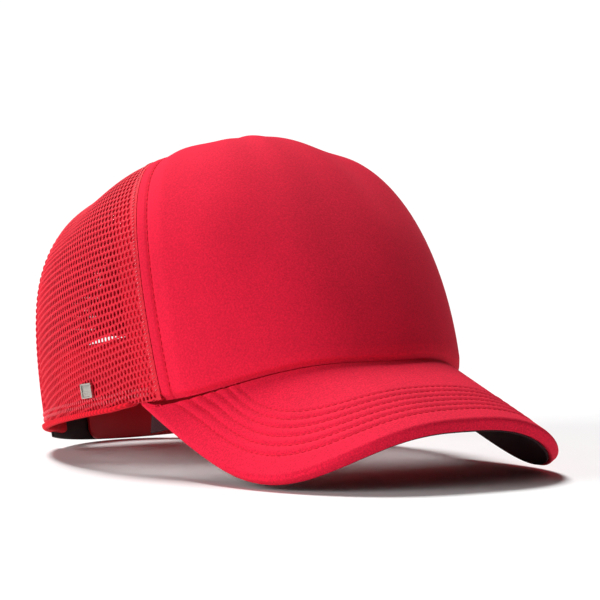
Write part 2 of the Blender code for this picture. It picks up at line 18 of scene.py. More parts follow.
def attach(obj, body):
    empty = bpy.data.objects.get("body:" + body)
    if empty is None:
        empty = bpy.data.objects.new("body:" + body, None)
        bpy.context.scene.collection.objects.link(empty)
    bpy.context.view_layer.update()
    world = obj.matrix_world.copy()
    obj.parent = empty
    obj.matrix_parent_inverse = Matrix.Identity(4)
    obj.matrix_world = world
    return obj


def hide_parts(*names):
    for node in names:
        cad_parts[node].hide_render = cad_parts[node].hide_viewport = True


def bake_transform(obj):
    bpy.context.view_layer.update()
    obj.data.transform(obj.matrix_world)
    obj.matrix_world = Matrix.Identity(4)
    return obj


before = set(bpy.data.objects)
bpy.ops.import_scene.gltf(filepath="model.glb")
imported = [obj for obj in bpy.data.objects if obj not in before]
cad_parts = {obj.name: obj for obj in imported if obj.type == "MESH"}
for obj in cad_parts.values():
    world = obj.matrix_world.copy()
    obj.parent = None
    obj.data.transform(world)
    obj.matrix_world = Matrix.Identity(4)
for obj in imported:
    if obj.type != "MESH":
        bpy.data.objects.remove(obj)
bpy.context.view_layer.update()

MM = 0.001
Array = np.ndarray
Place = Callable[[Array, Array], Array]
LOG = logging.getLogger("trucker_mesh_cap")


def smooth(value: Array, low: float, high: float) -> Array:
    """Ramp smoothly from 0 at low to 1 at high."""
    x = np.clip((value - low) / (high - low), 0.0, 1.0)
    return x * x * (3.0 - 2.0 * x)


def bump(value: Array, centre: float, width: float) -> Array:
    """Bell of height 1 at a centre."""
    return np.exp(-(((value - centre) / width) ** 2))


def unit(vectors: Array) -> Array:
    """Scale vectors to a length of one."""
    return vectors / np.maximum(np.linalg.norm(vectors, axis=-1, keepdims=True), 1e-9)


# ---------------------------------------------------------------- the cap's surfaces

@dataclass(frozen=True)
class CapForm:
    """Surfaces of the crown and the visor, in millimetres, the same as the frame's."""

    crown_width: float = 168.0
    crown_front: float = 106.0
    crown_rear: float = 103.0
    power_front: float = 2.0
    power_rear: float = 1.85
    apex_height: float = 130.0
    apex_behind: float = 18.0
    rear_edge: float = 3.2
    edge_rise: float = 0.185
    edge_blend: float = 1.5
    edge_fade: float = 15.0
    upright: tuple[float, float, float] = (0.625, 0.761, 0.714)
    lean: tuple[float, float, float] = (0.174, -0.119, -0.171)
    shoulder_width: tuple[float, float, float] = (0.363, 0.775, 0.929)
    shoulder_rise: tuple[float, float, float] = (0.409, 0.103, -0.202)
    panel_face: float = 0.8
    crown_visor_gap: float = 0.5
    visor_half_width: float = 79.0
    visor_reach: float = 162.0
    visor_widest: float = 70.0
    visor_squareness: float = 3.0
    visor_end: float = 35.0
    visor_pitch: float = 0.353
    arch_drop: float = 48.0
    arch_half_span: float = 80.0
    arch_power: float = 2.7
    visor_stack: float = 6.6
    corner_trim: float = 3.0
    front_seam_angle: float = 63.2
    front_seam_sweep: float = 28.0
    front_seam_curl: float = 20.0
    side_seam_angle: float = 118.0
    side_seam_sweep: float = 26.0
    mesh_sag: float = 3.6
    mesh_fold: float = 0.55

    def __post_init__(self) -> None:
        """Work out the heights and the middle that the sizes above set."""
        s = np.linspace(0.0, 1.5, 61)
        p = self.visor_outline(s)
        low = self.visor_drop(p[..., 0], p[..., 1])
        low = low - self.visor_stack * self.visor_normal(p[..., 0], p[..., 1])[..., 2]
        object.__setattr__(self, "root_height", -float(low.min()))
        t = np.linspace(0.0, 1.0, 61)
        reach = float(self.crown(np.full(61, math.pi), t)[:, 1].max())
        object.__setattr__(self, "centre_y", (self.visor_reach - reach) / 2.0)

    def world(self, points: Array) -> Array:
        """Turn millimetres about the crown's centre into metres in the frame."""
        return (np.asarray(points, float) + np.array((0.0, self.centre_y, 0.0))) * MM

    @staticmethod
    def around(angle: Array, values: Sequence[float]) -> Array:
        """Blend front, side and rear values by the angle round the crown."""
        front, side, rear = values
        c = np.cos(angle)
        return side + (front - rear) / 2.0 * c + ((front + rear) / 2.0 - side) * c * c

    def plan(self, angle: Array) -> Array:
        """Crown outline in plan at the bottom edge.

        Args:
            angle: Angle round the crown, in radians.

        Returns:
            Points whose last axis is x and y.
        """
        s, c = np.sin(angle), np.cos(angle)
        share = 0.5 + 0.5 * np.tanh(3.0 * c)
        power = self.power_rear + (self.power_front - self.power_rear) * share
        reach = np.where(c > 0, self.crown_front, self.crown_rear)
        x = self.crown_width / 2.0 * np.sign(s) * np.abs(s) ** (2.0 / power)
        y = -reach * np.sign(c) * np.abs(c) ** (2.0 / power)
        return np.stack((x, y), axis=-1)

    def plan_inset(self, angle: Array, inset: float) -> Array:
        """Outline in plan, inset square to itself."""
        step = 0.01
        along = unit(self.plan(angle + step) - self.plan(angle - step))
        outward = np.stack((along[..., 1], -along[..., 0]), axis=-1)
        return self.plan(angle) - outward * inset

    def visor_drop(self, x: Array, y: Array) -> Array:
        """Height of the visor's top against its root at the centre."""
        arch = self.arch_drop * (np.abs(x) / self.arch_half_span) ** self.arch_power
        return self.visor_pitch * (y + self.crown_front) - arch

    def visor_normal(self, x: Array, y: Array) -> Array:
        """Upward normal of the visor's top."""
        step = 0.05
        dx = (self.visor_drop(x + step, y) - self.visor_drop(x - step, y)) / (2.0 * step)
        dy = (self.visor_drop(x, y + step) - self.visor_drop(x, y - step)) / (2.0 * step)
        return unit(np.stack((-dx, -dy, np.ones_like(dx)), axis=-1))

    def temple(self) -> float:
        """Angle round the crown where the visor ends."""
        return math.acos((self.visor_end / self.crown_front) ** (self.power_front / 2.0))

    def visor_outline(self, s: Array) -> Array:
        """Visor's outer edge in plan, from -1.5 at one temple to 1.5 at the other."""
        side = np.abs(s)
        a = np.minimum(side, 1.0) * math.pi / 2.0
        n = self.visor_squareness
        r = (np.abs(np.sin(a)) ** n + np.abs(np.cos(a)) ** n) ** (-1.0 / n)
        temple_x = float(self.plan(np.array(self.temple()))[0]) - 1.0
        g = np.clip((side - 1.0) / 0.5, 0.0, 1.0)
        side_x = self.visor_half_width + (temple_x - self.visor_half_width) * g ** 1.6
        side_y = -self.visor_widest + (self.visor_widest - self.visor_end) * g
        x = np.where(side <= 1.0, self.visor_half_width * r * np.sin(a), side_x)
        front_y = -self.visor_widest - (self.visor_reach - self.visor_widest) * r * np.cos(a)
        y = np.where(side <= 1.0, front_y, side_y)
        return np.stack((np.sign(s) * x, y), axis=-1)

    def visor_outward(self, s: Array) -> Array:
        """Plan direction that points out of the visor's edge."""
        low, high = np.clip(s - 0.01, -1.5, 1.5), np.clip(s + 0.01, -1.5, 1.5)
        along = unit(self.visor_outline(high) - self.visor_outline(low))
        return np.stack((along[..., 1], -along[..., 0]), axis=-1)

    def edge(self, angle: Array) -> Array:
        """Height of the crown's bottom edge: over the visor in front, a slope behind it."""
        p = self.plan_inset(angle, self.panel_face)
        over = self.root_height + self.visor_drop(p[..., 0], p[..., 1]) + self.crown_visor_gap
        slope = self.rear_edge + self.edge_rise * (self.crown_rear - p[..., 1])
        gap = over - slope
        lift = (gap + np.sqrt(gap * gap + self.edge_blend ** 2)) / 2.0
        end = -self.visor_end
        return slope + lift * (1.0 - smooth(p[..., 1], end, end + self.edge_fade))

    def crown(self, angle: Array, t: Array) -> Array:
        """Outer surface of the crown.

        Args:
            angle: Angle round the crown, in radians.
            t: 0 at the bottom edge and 1 at the button.

        Returns:
            Points whose last axis is x, y and z.
        """
        base, low = self.plan(angle), self.edge(angle)
        upright, lean = self.around(angle, self.upright), self.around(angle, self.lean)
        width = self.around(angle, self.shoulder_width)
        over = self.around(angle, self.shoulder_rise)
        b0, b1 = (1 - t) ** 3, 3 * t * (1 - t) ** 2
        b2, b3 = 3 * t * t * (1 - t), t ** 3
        r = b0 + b1 * (1 - lean) + b2 * width
        h = b1 * upright + b2 * (1 + over) + b3
        y = self.apex_behind + (base[..., 1] - self.apex_behind) * r
        return np.stack((base[..., 0] * r, y, low + (self.apex_height - low) * h), axis=-1)

    def crown_normal(self, angle: Array, t: Array) -> Array:
        """Outward normal of the crown."""
        step = 0.004
        across = self.crown(angle + step, t) - self.crown(angle - step, t)
        rise = self.crown(angle, t + step) - self.crown(angle, t - step)
        return unit(np.cross(across, rise))

    def inside(self, angle: Array, t: Array, depth: Array | float) -> Array:
        """Point at a depth inside the crown's outer surface."""
        depth = np.asarray(depth, float)[..., None]
        return self.crown(angle, t) - self.crown_normal(angle, t) * depth

    def slack(self, angle: Array, t: Array) -> Array:
        """How far the soft mesh hangs inside the plain crown surface, in millimetres."""
        turn = np.degrees(np.abs(angle))
        behind = smooth(turn, 88.0, 116.0) * (1.0 - 0.45 * smooth(turn, 150.0, 180.0))
        sag = self.mesh_sag * behind * bump(t, 0.66, 0.21)
        folds = np.sin(0.16 * turn + 13.0 * t) * np.sin(0.07 * turn - 9.0 * t + 1.0)
        return sag + self.mesh_fold * folds * smooth(turn, 76.0, 95.0) * bump(t, 0.5, 0.22)

    def soft(self, angle: Array, t: Array, depth: Array | float) -> Array:
        """Point at a depth inside the slack mesh."""
        return self.inside(angle, t, depth + self.slack(angle, t))

    def t_above(self, angle: Array, above: Array | float) -> Array:
        """Meridian parameter at a small height above the bottom edge."""
        return above / (3.0 * self.around(angle, self.upright) * (self.apex_height - self.edge(angle)))

    def turn_for(self, angle: Array, t: Array, length: Array | float) -> Array:
        """Angle that a length along the crown's circumference covers."""
        step = 0.02
        run = np.linalg.norm(self.crown(angle + step, t) - self.crown(angle - step, t), axis=-1)
        return length * 2.0 * step / np.maximum(run, 1e-6)

    def rear_place(self, x: Array, z: Array | float) -> tuple[Array, Array]:
        """Angle and meridian parameter on the rear of the crown at an x and a z."""
        x = np.asarray(x, float)
        ratio, t = np.ones_like(x), np.zeros_like(x)
        angle = np.full_like(x, math.pi)
        for _ in range(6):
            s = np.clip(np.abs(x) / ratio / (self.crown_width / 2.0), 0.0, 1.0)
            s = s ** (self.power_rear / 2.0)
            angle = math.pi - np.arcsin(s)
            here = self.crown(angle, t)
            t = t + (z - here[..., 2]) / (3.0 * self.around(angle, self.upright) * self.apex_height)
            plan_x = np.maximum(self.plan(angle)[..., 0], 1e-6)
            ratio = np.where(s > 1e-4, self.crown(angle, t)[..., 0] / plan_x, 1.0)
        return np.where(x < 0, -angle, angle), t

    def rear(self, x: Array, z: Array | float, depth: Array | float) -> Array:
        """Point on the rear of the crown at an x, a z and a depth."""
        angle, t = self.rear_place(x, z)
        return self.inside(angle, t, depth)

    def strap(self, x: Array, above: Array | float, depth: Array | float) -> Array:
        """Point on the rear of the crown at an x and a height above its bottom edge."""
        edge = self.edge(self.rear_place(x, self.rear_edge)[0])
        return self.rear(x, edge + above, depth)

    def front_seam(self, t: Array) -> Array:
        """Angle of the seam between the front panel and the side mesh."""
        swept = self.front_seam_angle + self.front_seam_sweep * t
        return np.radians(swept + self.front_seam_curl * t ** 5)

    def side_seam(self, t: Array) -> Array:
        """Angle of the seam between the side mesh and the rear mesh."""
        return np.radians(self.side_seam_angle + self.side_seam_sweep * t)

    def rear_seam(self, t: Array) -> Array:
        """Angle of the centre seam at the rear."""
        return np.full_like(t, math.pi)

    def visor_root(self, angle: Array, depth: float) -> Array:
        """Plan point of a visor layer whose root ends under the crown's edge."""
        target = self.plan_inset(angle, self.panel_face)
        base = target
        for _ in range(4):
            base = target + self.visor_normal(base[..., 0], base[..., 1])[..., :2] * depth
        return base

    def visor(self, s: Array, v: Array, depth: Array | float, inset: float) -> Array:
        """Visor layer: s across, v from the root at 0 to the inset edge at 1, at a depth."""
        last = self.temple() - math.radians(self.corner_trim)
        flat_depth = float(np.mean(depth))
        root = self.visor_root(last * s / 1.5, flat_depth)
        edge = self.visor_outline(s) - self.visor_outward(s) * inset
        p = root + (edge - root) * v[..., None]
        n = self.visor_normal(p[..., 0], p[..., 1])
        z = self.root_height + self.visor_drop(p[..., 0], p[..., 1])
        top = np.stack((p[..., 0], p[..., 1], z), axis=-1)
        return top - n * np.asarray(depth, float)[..., None]


# ---------------------------------------------------------------- finishes

class Grain(Enum):
    """The fine surface that a finish shows."""

    KNIT = "knit"
    TWILL = "twill"
    YARN = "yarn"
    FOAM = "foam"
    MOULDED = "moulded"
    BRUSHED = "brushed"


@dataclass(frozen=True)
class Finish:
    """One procedural finish: colour with its variation, grain, sheen and bump."""

    name: str
    color: tuple[float, float, float]
    grain: Grain
    pitch: float = 0.6
    depth: float = 0.12
    contrast: float = 0.12
    roughness: float = 0.9
    specular: float = 0.15
    sheen: float = 0.0
    metallic: float = 0.0
    clouds: float = 0.06

    def material(self) -> bpy.types.Material:
        """Build the node material.

        Returns:
            A Principled material whose grain is at real scale in the object's own metres.
        """
        mat = bpy.data.materials.new(self.name)
        mat.use_nodes = True
        tree = mat.node_tree
        shader = tree.nodes["Principled BSDF"]
        shader.inputs["Metallic"].default_value = self.metallic
        shader.inputs["Roughness"].default_value = self.roughness
        shader.inputs["Specular IOR Level"].default_value = self.specular
        shader.inputs["Sheen Weight"].default_value = self.sheen
        shader.inputs["Sheen Roughness"].default_value = 0.45
        shader.inputs["Sheen Tint"].default_value = (1.0, 0.35, 0.42, 1.0)
        where = tree.nodes.new("ShaderNodeTexCoord").outputs["Object"]
        height = self._grain_height(tree, where)
        cloud = self._noise(tree, where, 45.0, 3.0)
        fine = self._ramp(tree, height, 1.0 - self.contrast, 1.0 + self.contrast)
        broad = self._ramp(tree, cloud, 1.0 - self.clouds, 1.0 + self.clouds)
        shade = tree.nodes.new("ShaderNodeMath")
        shade.operation = "MULTIPLY"
        tree.links.new(fine, shade.inputs[0])
        tree.links.new(broad, shade.inputs[1])
        tint = tree.nodes.new("ShaderNodeVectorMath")
        tint.operation = "SCALE"
        tint.inputs[0].default_value = self.color
        tree.links.new(shade.outputs[0], tint.inputs["Scale"])
        tree.links.new(tint.outputs[0], shader.inputs["Base Color"])
        relief = tree.nodes.new("ShaderNodeBump")
        relief.inputs["Strength"].default_value = 0.7
        relief.inputs["Distance"].default_value = self.depth * MM
        tree.links.new(height, relief.inputs["Height"])
        tree.links.new(relief.outputs[0], shader.inputs["Normal"])
        return mat

    @staticmethod
    def _noise(tree: bpy.types.NodeTree, where: bpy.types.NodeSocket, scale: float,
               detail: float) -> bpy.types.NodeSocket:
        """Add a noise texture and return its value."""
        node = tree.nodes.new("ShaderNodeTexNoise")
        node.inputs["Scale"].default_value = scale
        node.inputs["Detail"].default_value = detail
        tree.links.new(where, node.inputs["Vector"])
        return node.outputs["Fac"]

    @staticmethod
    def _ramp(tree: bpy.types.NodeTree, value: bpy.types.NodeSocket, low: float,
              high: float) -> bpy.types.NodeSocket:
        """Map a value from 0..1 to a range."""
        node = tree.nodes.new("ShaderNodeMapRange")
        node.inputs["From Min"].default_value = 0.2
        node.inputs["From Max"].default_value = 0.8
        node.inputs["To Min"].default_value = low
        node.inputs["To Max"].default_value = high
        tree.links.new(value, node.inputs["Value"])
        return node.outputs["Result"]

    def _wave(self, tree: bpy.types.NodeTree, where: bpy.types.NodeSocket, direction: str,
              distortion: float) -> bpy.types.NodeSocket:
        """Add a wave texture whose bands are one pitch apart and return its value."""
        node = tree.nodes.new("ShaderNodeTexWave")
        node.bands_direction = direction
        node.inputs["Scale"].default_value = math.pi / 10.0 / (self.pitch * MM)
        node.inputs["Distortion"].default_value = distortion
        node.inputs["Detail"].default_value = 1.0
        tree.links.new(where, node.inputs["Vector"])
        return node.outputs["Fac"]

    def _grain_height(self, tree: bpy.types.NodeTree,
                      where: bpy.types.NodeSocket) -> bpy.types.NodeSocket:
        """Height of the grain: cells for a knit or foam, waves for a woven or spun surface.

        Args:
            tree: The material's nodes.
            where: Coordinates in metres.

        Returns:
            The socket that gives the height.
        """
        scale = 1.0 / (self.pitch * MM)
        if self.grain in (Grain.TWILL, Grain.YARN, Grain.BRUSHED):
            direction = {"twill": "DIAGONAL", "yarn": "Z", "brushed": "Y"}[self.grain.value]
            wave = self._wave(tree, where, direction, 1.5)
            noise = self._noise(tree, where, scale * 0.8, 2.0)
            mix = tree.nodes.new("ShaderNodeMath")
            mix.operation = "MULTIPLY_ADD"
            mix.inputs[1].default_value = 0.6
            tree.links.new(wave, mix.inputs[0])
            half = tree.nodes.new("ShaderNodeMath")
            half.operation = "MULTIPLY"
            half.inputs[1].default_value = 0.4
            tree.links.new(noise, half.inputs[0])
            tree.links.new(half.outputs[0], mix.inputs[2])
            return mix.outputs[0]
        if self.grain is Grain.FOAM:
            cells = tree.nodes.new("ShaderNodeTexVoronoi")
            cells.inputs["Scale"].default_value = scale
            tree.links.new(where, cells.inputs["Vector"])
            return cells.outputs["Distance"]
        return self._noise(tree, where, scale, 4.0 if self.grain is Grain.KNIT else 1.0)


FRONT_KNIT = Finish("front_knit", (0.80, 0.0125, 0.047), Grain.KNIT, pitch=0.7, contrast=0.22,
                    sheen=0.03)
VISOR_KNIT = Finish("visor_red", (0.81, 0.0115, 0.048), Grain.KNIT, pitch=0.7, depth=0.2,
                    contrast=0.3, sheen=0.03)
MESH_YARN = Finish("mesh_red", (0.74, 0.012, 0.034), Grain.YARN, pitch=0.5, depth=0.1,
                   contrast=0.3, roughness=0.65, specular=0.25, sheen=0.03)
BAND_TWILL = Finish("sweatband_red", (0.70, 0.009, 0.024), Grain.TWILL, pitch=0.8, contrast=0.25)
TAPE_TWILL = Finish("tape_red", (0.80, 0.012, 0.035), Grain.TWILL, pitch=0.7, contrast=0.25)
# Black under-visor cloth. Its colour is raised and tinted red as painted reflected light, standing for
# red light bounced under the visor.
UNDER_CLOTH_PAINTED_BOUNCE = Finish("visor_under_black", (0.045, 0.018, 0.022), Grain.TWILL, pitch=0.6,
                     contrast=0.3)
# Lining foam darkened to a near-black red: painted shade that stands for the shade inside the crown.
LINING_FOAM_PAINTED_SHADE = Finish("lining_foam", (0.12, 0.003, 0.006), Grain.FOAM, pitch=0.7, depth=0.3)
BOARD = Finish("board_plastic", (0.72, 0.72, 0.69), Grain.MOULDED, roughness=0.5)
BLACK_STRAP = Finish("strap_black", (0.010, 0.006, 0.007), Grain.MOULDED, pitch=0.35,
                     depth=0.03, roughness=0.5, specular=0.2)
RED_STRAP = Finish("strap_red", (0.50, 0.008, 0.018), Grain.MOULDED, pitch=0.35, depth=0.03,
                   contrast=0.05, roughness=0.42, specular=0.4)
BUTTON_KNIT = Finish("button_red", (0.80, 0.0125, 0.047), Grain.KNIT, contrast=0.34, sheen=0.03)
RIVET = Finish("rivet_metal", (0.58, 0.58, 0.57), Grain.BRUSHED, pitch=0.3, depth=0.02,
               roughness=0.35, specular=0.5, metallic=1.0)
BADGE = Finish("badge_metal", (0.50, 0.47, 0.43), Grain.BRUSHED, pitch=0.25, depth=0.02,
               roughness=0.3, specular=0.5, metallic=1.0)
RED_THREAD = Finish("red_thread", (0.74, 0.012, 0.04), Grain.YARN, pitch=0.3, roughness=0.7)
PALE_THREAD = Finish("pale_thread", (0.95, 0.13, 0.17), Grain.YARN, pitch=0.3, roughness=0.5,
                     specular=0.5)
BLACK_THREAD = Finish("black_thread", (0.03, 0.018, 0.02), Grain.YARN, pitch=0.3)


@dataclass(frozen=True)
class Stitch:
    """One kind of sewing: its pitch, the stitch's length, the thread's radius and its finish."""

    pitch: float
    length: float
    radius: float
    finish: Finish


TOPSTITCH = Stitch(2.9, 2.2, 0.24, RED_THREAD)
SEAM_STITCH = Stitch(2.8, 2.1, 0.2, RED_THREAD)
OVERLOCK = Stitch(1.7, 1.3, 0.2, PALE_THREAD)
LONG_BAR = Stitch(1.7, 1.6, 0.2, PALE_THREAD)
SHORT_BAR = Stitch(1.7, 1.3, 0.2, PALE_THREAD)
BINDING_STITCH = Stitch(2.8, 2.1, 0.22, RED_THREAD)
VISOR_STITCH = Stitch(2.9, 2.3, 0.21, RED_THREAD)
UNDER_STITCH = Stitch(2.9, 2.1, 0.22, BLACK_THREAD)


# ---------------------------------------------------------------- workshop

@dataclass
class Workshop:
    """Makes meshes on the cap's surfaces and places them in the frame."""

    form: CapForm
    made: dict[str, bpy.types.Material] = field(default_factory=dict)

    def dress(self, obj: bpy.types.Object, finish: Finish) -> None:
        """Give an object one finish."""
        if finish.name not in self.made:
            self.made[finish.name] = finish.material()
        obj.data.materials.clear()
        obj.data.materials.append(self.made[finish.name])

    def link(self, name: str, mesh: bpy.types.Mesh, finish: Finish, slot: str,
             body: str | None = "root") -> bpy.types.Object:
        """Link a mesh as a finished piece.

        Args:
            name: The piece's name.
            mesh: Its mesh, in metres.
            finish: Its finish.
            slot: The record's material slot; not used.
            body: The body it rides on, or None to leave the piece unattached.

        Returns:
            The new object.
        """
        obj = bpy.data.objects.new(name, mesh)
        bpy.context.scene.collection.objects.link(obj)
        mesh.shade_smooth()
        self.dress(obj, finish)
        if body is not None:
            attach(obj, body)
        LOG.info("%s: %d faces", name, len(mesh.polygons))
        return obj

    def grid(self, name: str, place: Place, columns: int, rows: int) -> bpy.types.Mesh:
        """Make a mesh grid from a surface.

        Args:
            name: The mesh's name.
            place: Gives points in millimetres for u and v in 0..1.
            columns: Faces along u.
            rows: Faces along v.

        Returns:
            The open mesh, in metres.
        """
        bm = bmesh.new()
        bmesh.ops.create_grid(bm, x_segments=columns, y_segments=rows, size=0.5)
        mesh = bpy.data.meshes.new(name)
        bm.to_mesh(mesh)
        bm.free()
        flat = np.zeros(len(mesh.vertices) * 3)
        mesh.vertices.foreach_get("co", flat)
        flat = flat.reshape(-1, 3)
        points = self.form.world(place(flat[:, 0] + 0.5, flat[:, 1] + 0.5))
        mesh.vertices.foreach_set("co", points.ravel())
        mesh.update()
        return mesh

    def sheet(self, name: str, place: Place, columns: int, rows: int, thickness: float,
              finish: Finish, slot: str) -> bpy.types.Object:
        """Make a thin shell whose outer face follows a surface."""
        obj = self.link(name, self.grid(name, place, columns, rows), finish, slot)
        self.thicken(obj, thickness)
        return obj

    @staticmethod
    def thicken(obj: bpy.types.Object, thickness: float) -> None:
        """Thicken an open surface inwards."""
        mod = obj.modifiers.new("thickness", "SOLIDIFY")
        mod.thickness = thickness * MM
        mod.offset = -1.0

    def beads(self, name: str, centres: Array, along: Array, outward: Array, stitch: Stitch,
              slot: str) -> bpy.types.Object:
        """Make a row of thread stitches, each a tapered bead.

        Args:
            name: The piece's name.
            centres: Middle of each stitch, in millimetres.
            along: Direction of each stitch.
            outward: Direction away from the fabric.
            stitch: The kind of stitch.
            slot: The record's material slot.

        Returns:
            The piece.
        """
        sides, rings = 6, ((-0.5, 0.35), (-0.32, 0.9), (0.0, 1.0), (0.32, 0.9), (0.5, 0.35))
        length, radius = stitch.length, stitch.radius
        along = unit(along)
        across = unit(np.cross(along, outward))
        up = np.cross(across, along)
        turn = np.arange(sides) * 2.0 * math.pi / sides
        rows = []
        for step, share in rings:
            hump = (1.0 - (2.0 * step) ** 2) * radius * 0.8
            middle = centres + along * (step * length) + up * hump
            ring = across[:, None] * np.cos(turn)[None, :, None]
            ring = ring + up[:, None] * np.sin(turn)[None, :, None]
            rows.append(middle[:, None] + ring * radius * share)
        points = np.stack(rows, axis=1).reshape(-1, 3)
        count, per = len(centres), sides * len(rings)
        faces = []
        for k in range(count):
            base = k * per
            for ring in range(len(rings) - 1):
                low = base + ring * sides
                for i in range(sides):
                    j = (i + 1) % sides
                    faces.append((low + i, low + j, low + sides + j, low + sides + i))
            faces.append(tuple(base + i for i in reversed(range(sides))))
            faces.append(tuple(base + per - sides + i for i in range(sides)))
        mesh = bpy.data.meshes.new(name)
        mesh.from_pydata(self.form.world(points).tolist(), [], faces)
        return self.link(name, mesh, stitch.finish, slot)

    def row_of(self, name: str, line: Callable[[Array], Array], lift: Callable[[Array], Array],
               stitch: Stitch, slot: str, slant: float = 0.0) -> bpy.types.Object:
        """Sew a row of stitches along a line.

        Args:
            name: The piece's name.
            line: Gives points in millimetres for a parameter in 0..1.
            lift: Gives the outward direction at the same parameter.
            stitch: The kind of stitch.
            slot: The record's material slot.
            slant: Turn of each stitch from the line, in radians.

        Returns:
            The piece.
        """
        fine = np.linspace(0.0, 1.0, 400)
        points = line(fine)
        run = np.concatenate(([0.0], np.cumsum(np.linalg.norm(np.diff(points, axis=0), axis=1))))
        count = max(2, int(run[-1] / stitch.pitch))
        u = np.interp((np.arange(count) + 0.5) / count * run[-1], run, fine)
        centres, outward = line(u), unit(lift(u))
        along = unit(line(np.minimum(u + 0.002, 1.0)) - line(np.maximum(u - 0.002, 0.0)))
        across = np.cross(outward, along)
        direction = along * math.cos(slant) + across * math.sin(slant)
        return self.beads(name, centres, direction, outward, stitch, slot)


def flipped(place: Place) -> Place:
    """The same surface on the wearer's right, with its faces still outwards."""
    def other(u: Array, v: Array) -> Array:
        """Mirror one point."""
        return place(1.0 - u, v) * np.array((-1.0, 1.0, 1.0))
    return other


# ---------------------------------------------------------------- front panel

@dataclass
class FrontPanel:
    """Puffy knit panel: a flat sewn-down border, a topstitch row and a dented top."""

    shop: Workshop
    top: float = 0.975
    border: float = 5.4
    puff: float = 1.3
    groove: float = 0.6
    bottom_roll: float = 2.4
    dent: float = 2.6
    dent_side: float = 31.0
    dent_half_width: float = 12.0
    thickness: float = 0.8
    face_lift: float = 0.35
    seam_dip: float = 0.85
    bottom_dip: float = 0.8
    rise_per_t: float = 150.0
    wave: float = 0.16

    def relief(self, angle: Array, t: Array, from_seam: Array) -> Array:
        """Height of the knit over the plain crown surface.

        Args:
            angle: Angle round the crown.
            t: Meridian parameter.
            from_seam: Distance to the nearest seam, in millimetres.

        Returns:
            Height in millimetres.
        """
        height = self.face_lift - self.seam_dip * (1.0 - smooth(from_seam, 0.0, 1.1))
        height = height - self.groove * bump(from_seam, self.border, 0.75)
        height = height + self.puff * smooth(from_seam, self.border, self.border + 8.0)
        rise = t * self.rise_per_t
        height = height - self.bottom_dip * (1.0 - smooth(rise, 0.5, 6.0))
        height = height - self.bottom_roll * (1.0 - smooth(rise, 0.0, 2.2))
        waves = np.sin(5.3 * angle + 2.0) * np.sin(9.0 * t + 1.0) + np.sin(11.0 * angle - 4.0 * t)
        waves = self.wave * waves * smooth(from_seam, self.border, self.border + 10.0)
        return height + waves - self.hollow(angle, t)

    def hollow(self, angle: Array, t: Array) -> Array:
        """Depth of the dent that runs along the wearer's left of the crown's top."""
        across = self.shop.form.crown(angle, t)[..., 0] - self.dent_side
        valley = bump(across, 0.0, self.dent_half_width * (1.0 + 1.2 * np.clip(0.62 - t, 0.0, 1.0)))
        return self.dent * valley * smooth(t, 0.3, 0.6) * (1.0 - smooth(t, 0.74, 0.88))

    def surface(self, u: Array, v: Array) -> Array:
        """Outer face of the knit for u across and v upwards."""
        form = self.shop.form
        t = self.top * (v - 0.75 * v * (1.0 - v) ** 6)
        seam = form.front_seam(t)
        share = 2.0 * u - 1.0
        angle = seam * (0.75 * np.sin(share * math.pi / 2.0) + 0.25 * share)
        from_seam = (seam - np.abs(angle)) / form.turn_for(angle, t, 1.0)
        return form.inside(angle, t, -self.relief(angle, t, from_seam))

    def border_line(self, side: float) -> tuple[Callable[[Array], Array], Callable[[Array], Array]]:
        """Line of the topstitch row on one side, and its outward direction."""
        form = self.shop.form

        def place(v: Array) -> tuple[Array, Array]:
            """Angle and t of the row."""
            t = 0.01 + v * 0.84
            seam = form.front_seam(t)
            return (seam - form.turn_for(seam, t, self.border)) * side, t

        def line(v: Array) -> Array:
            """Points of the row."""
            angle, t = place(v)
            return form.inside(angle, t, np.full_like(t, self.groove - self.face_lift - 0.1))

        def lift(v: Array) -> Array:
            """Outward direction of the row."""
            return form.crown_normal(*place(v))
        return line, lift

    def build(self) -> None:
        """Build the knit face, its lining foam and the topstitch rows."""
        shop = self.shop
        face = shop.sheet("front_panel_knit", self.surface, 230, 150, self.thickness,
                          FRONT_KNIT, "front_knit")
        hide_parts("front_panel_face")
        foam = shop.sheet("front_panel_lining", self.lining, 90, 60, 3.0, LINING_FOAM_PAINTED_SHADE, "lining_foam")
        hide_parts("front_panel_foam")
        for side, name in ((-1.0, "right"), (1.0, "left")):
            line, lift = self.border_line(side)
            shop.row_of(f"front_topstitch_{name}", line, lift, TOPSTITCH, "front_knit")

    def lining(self, u: Array, v: Array) -> Array:
        """Outer face of the foam behind the knit."""
        form = self.shop.form
        low = form.t_above(np.zeros_like(u), 3.0)
        t = low + v * (0.90 - low)
        seam = form.front_seam(t)
        seam = seam - form.turn_for(seam, t, 7.0)
        angle = seam * (2.0 * u - 1.0)
        return form.inside(angle, t, 1.5 + self.hollow(angle, t))


# ---------------------------------------------------------------- mesh panels

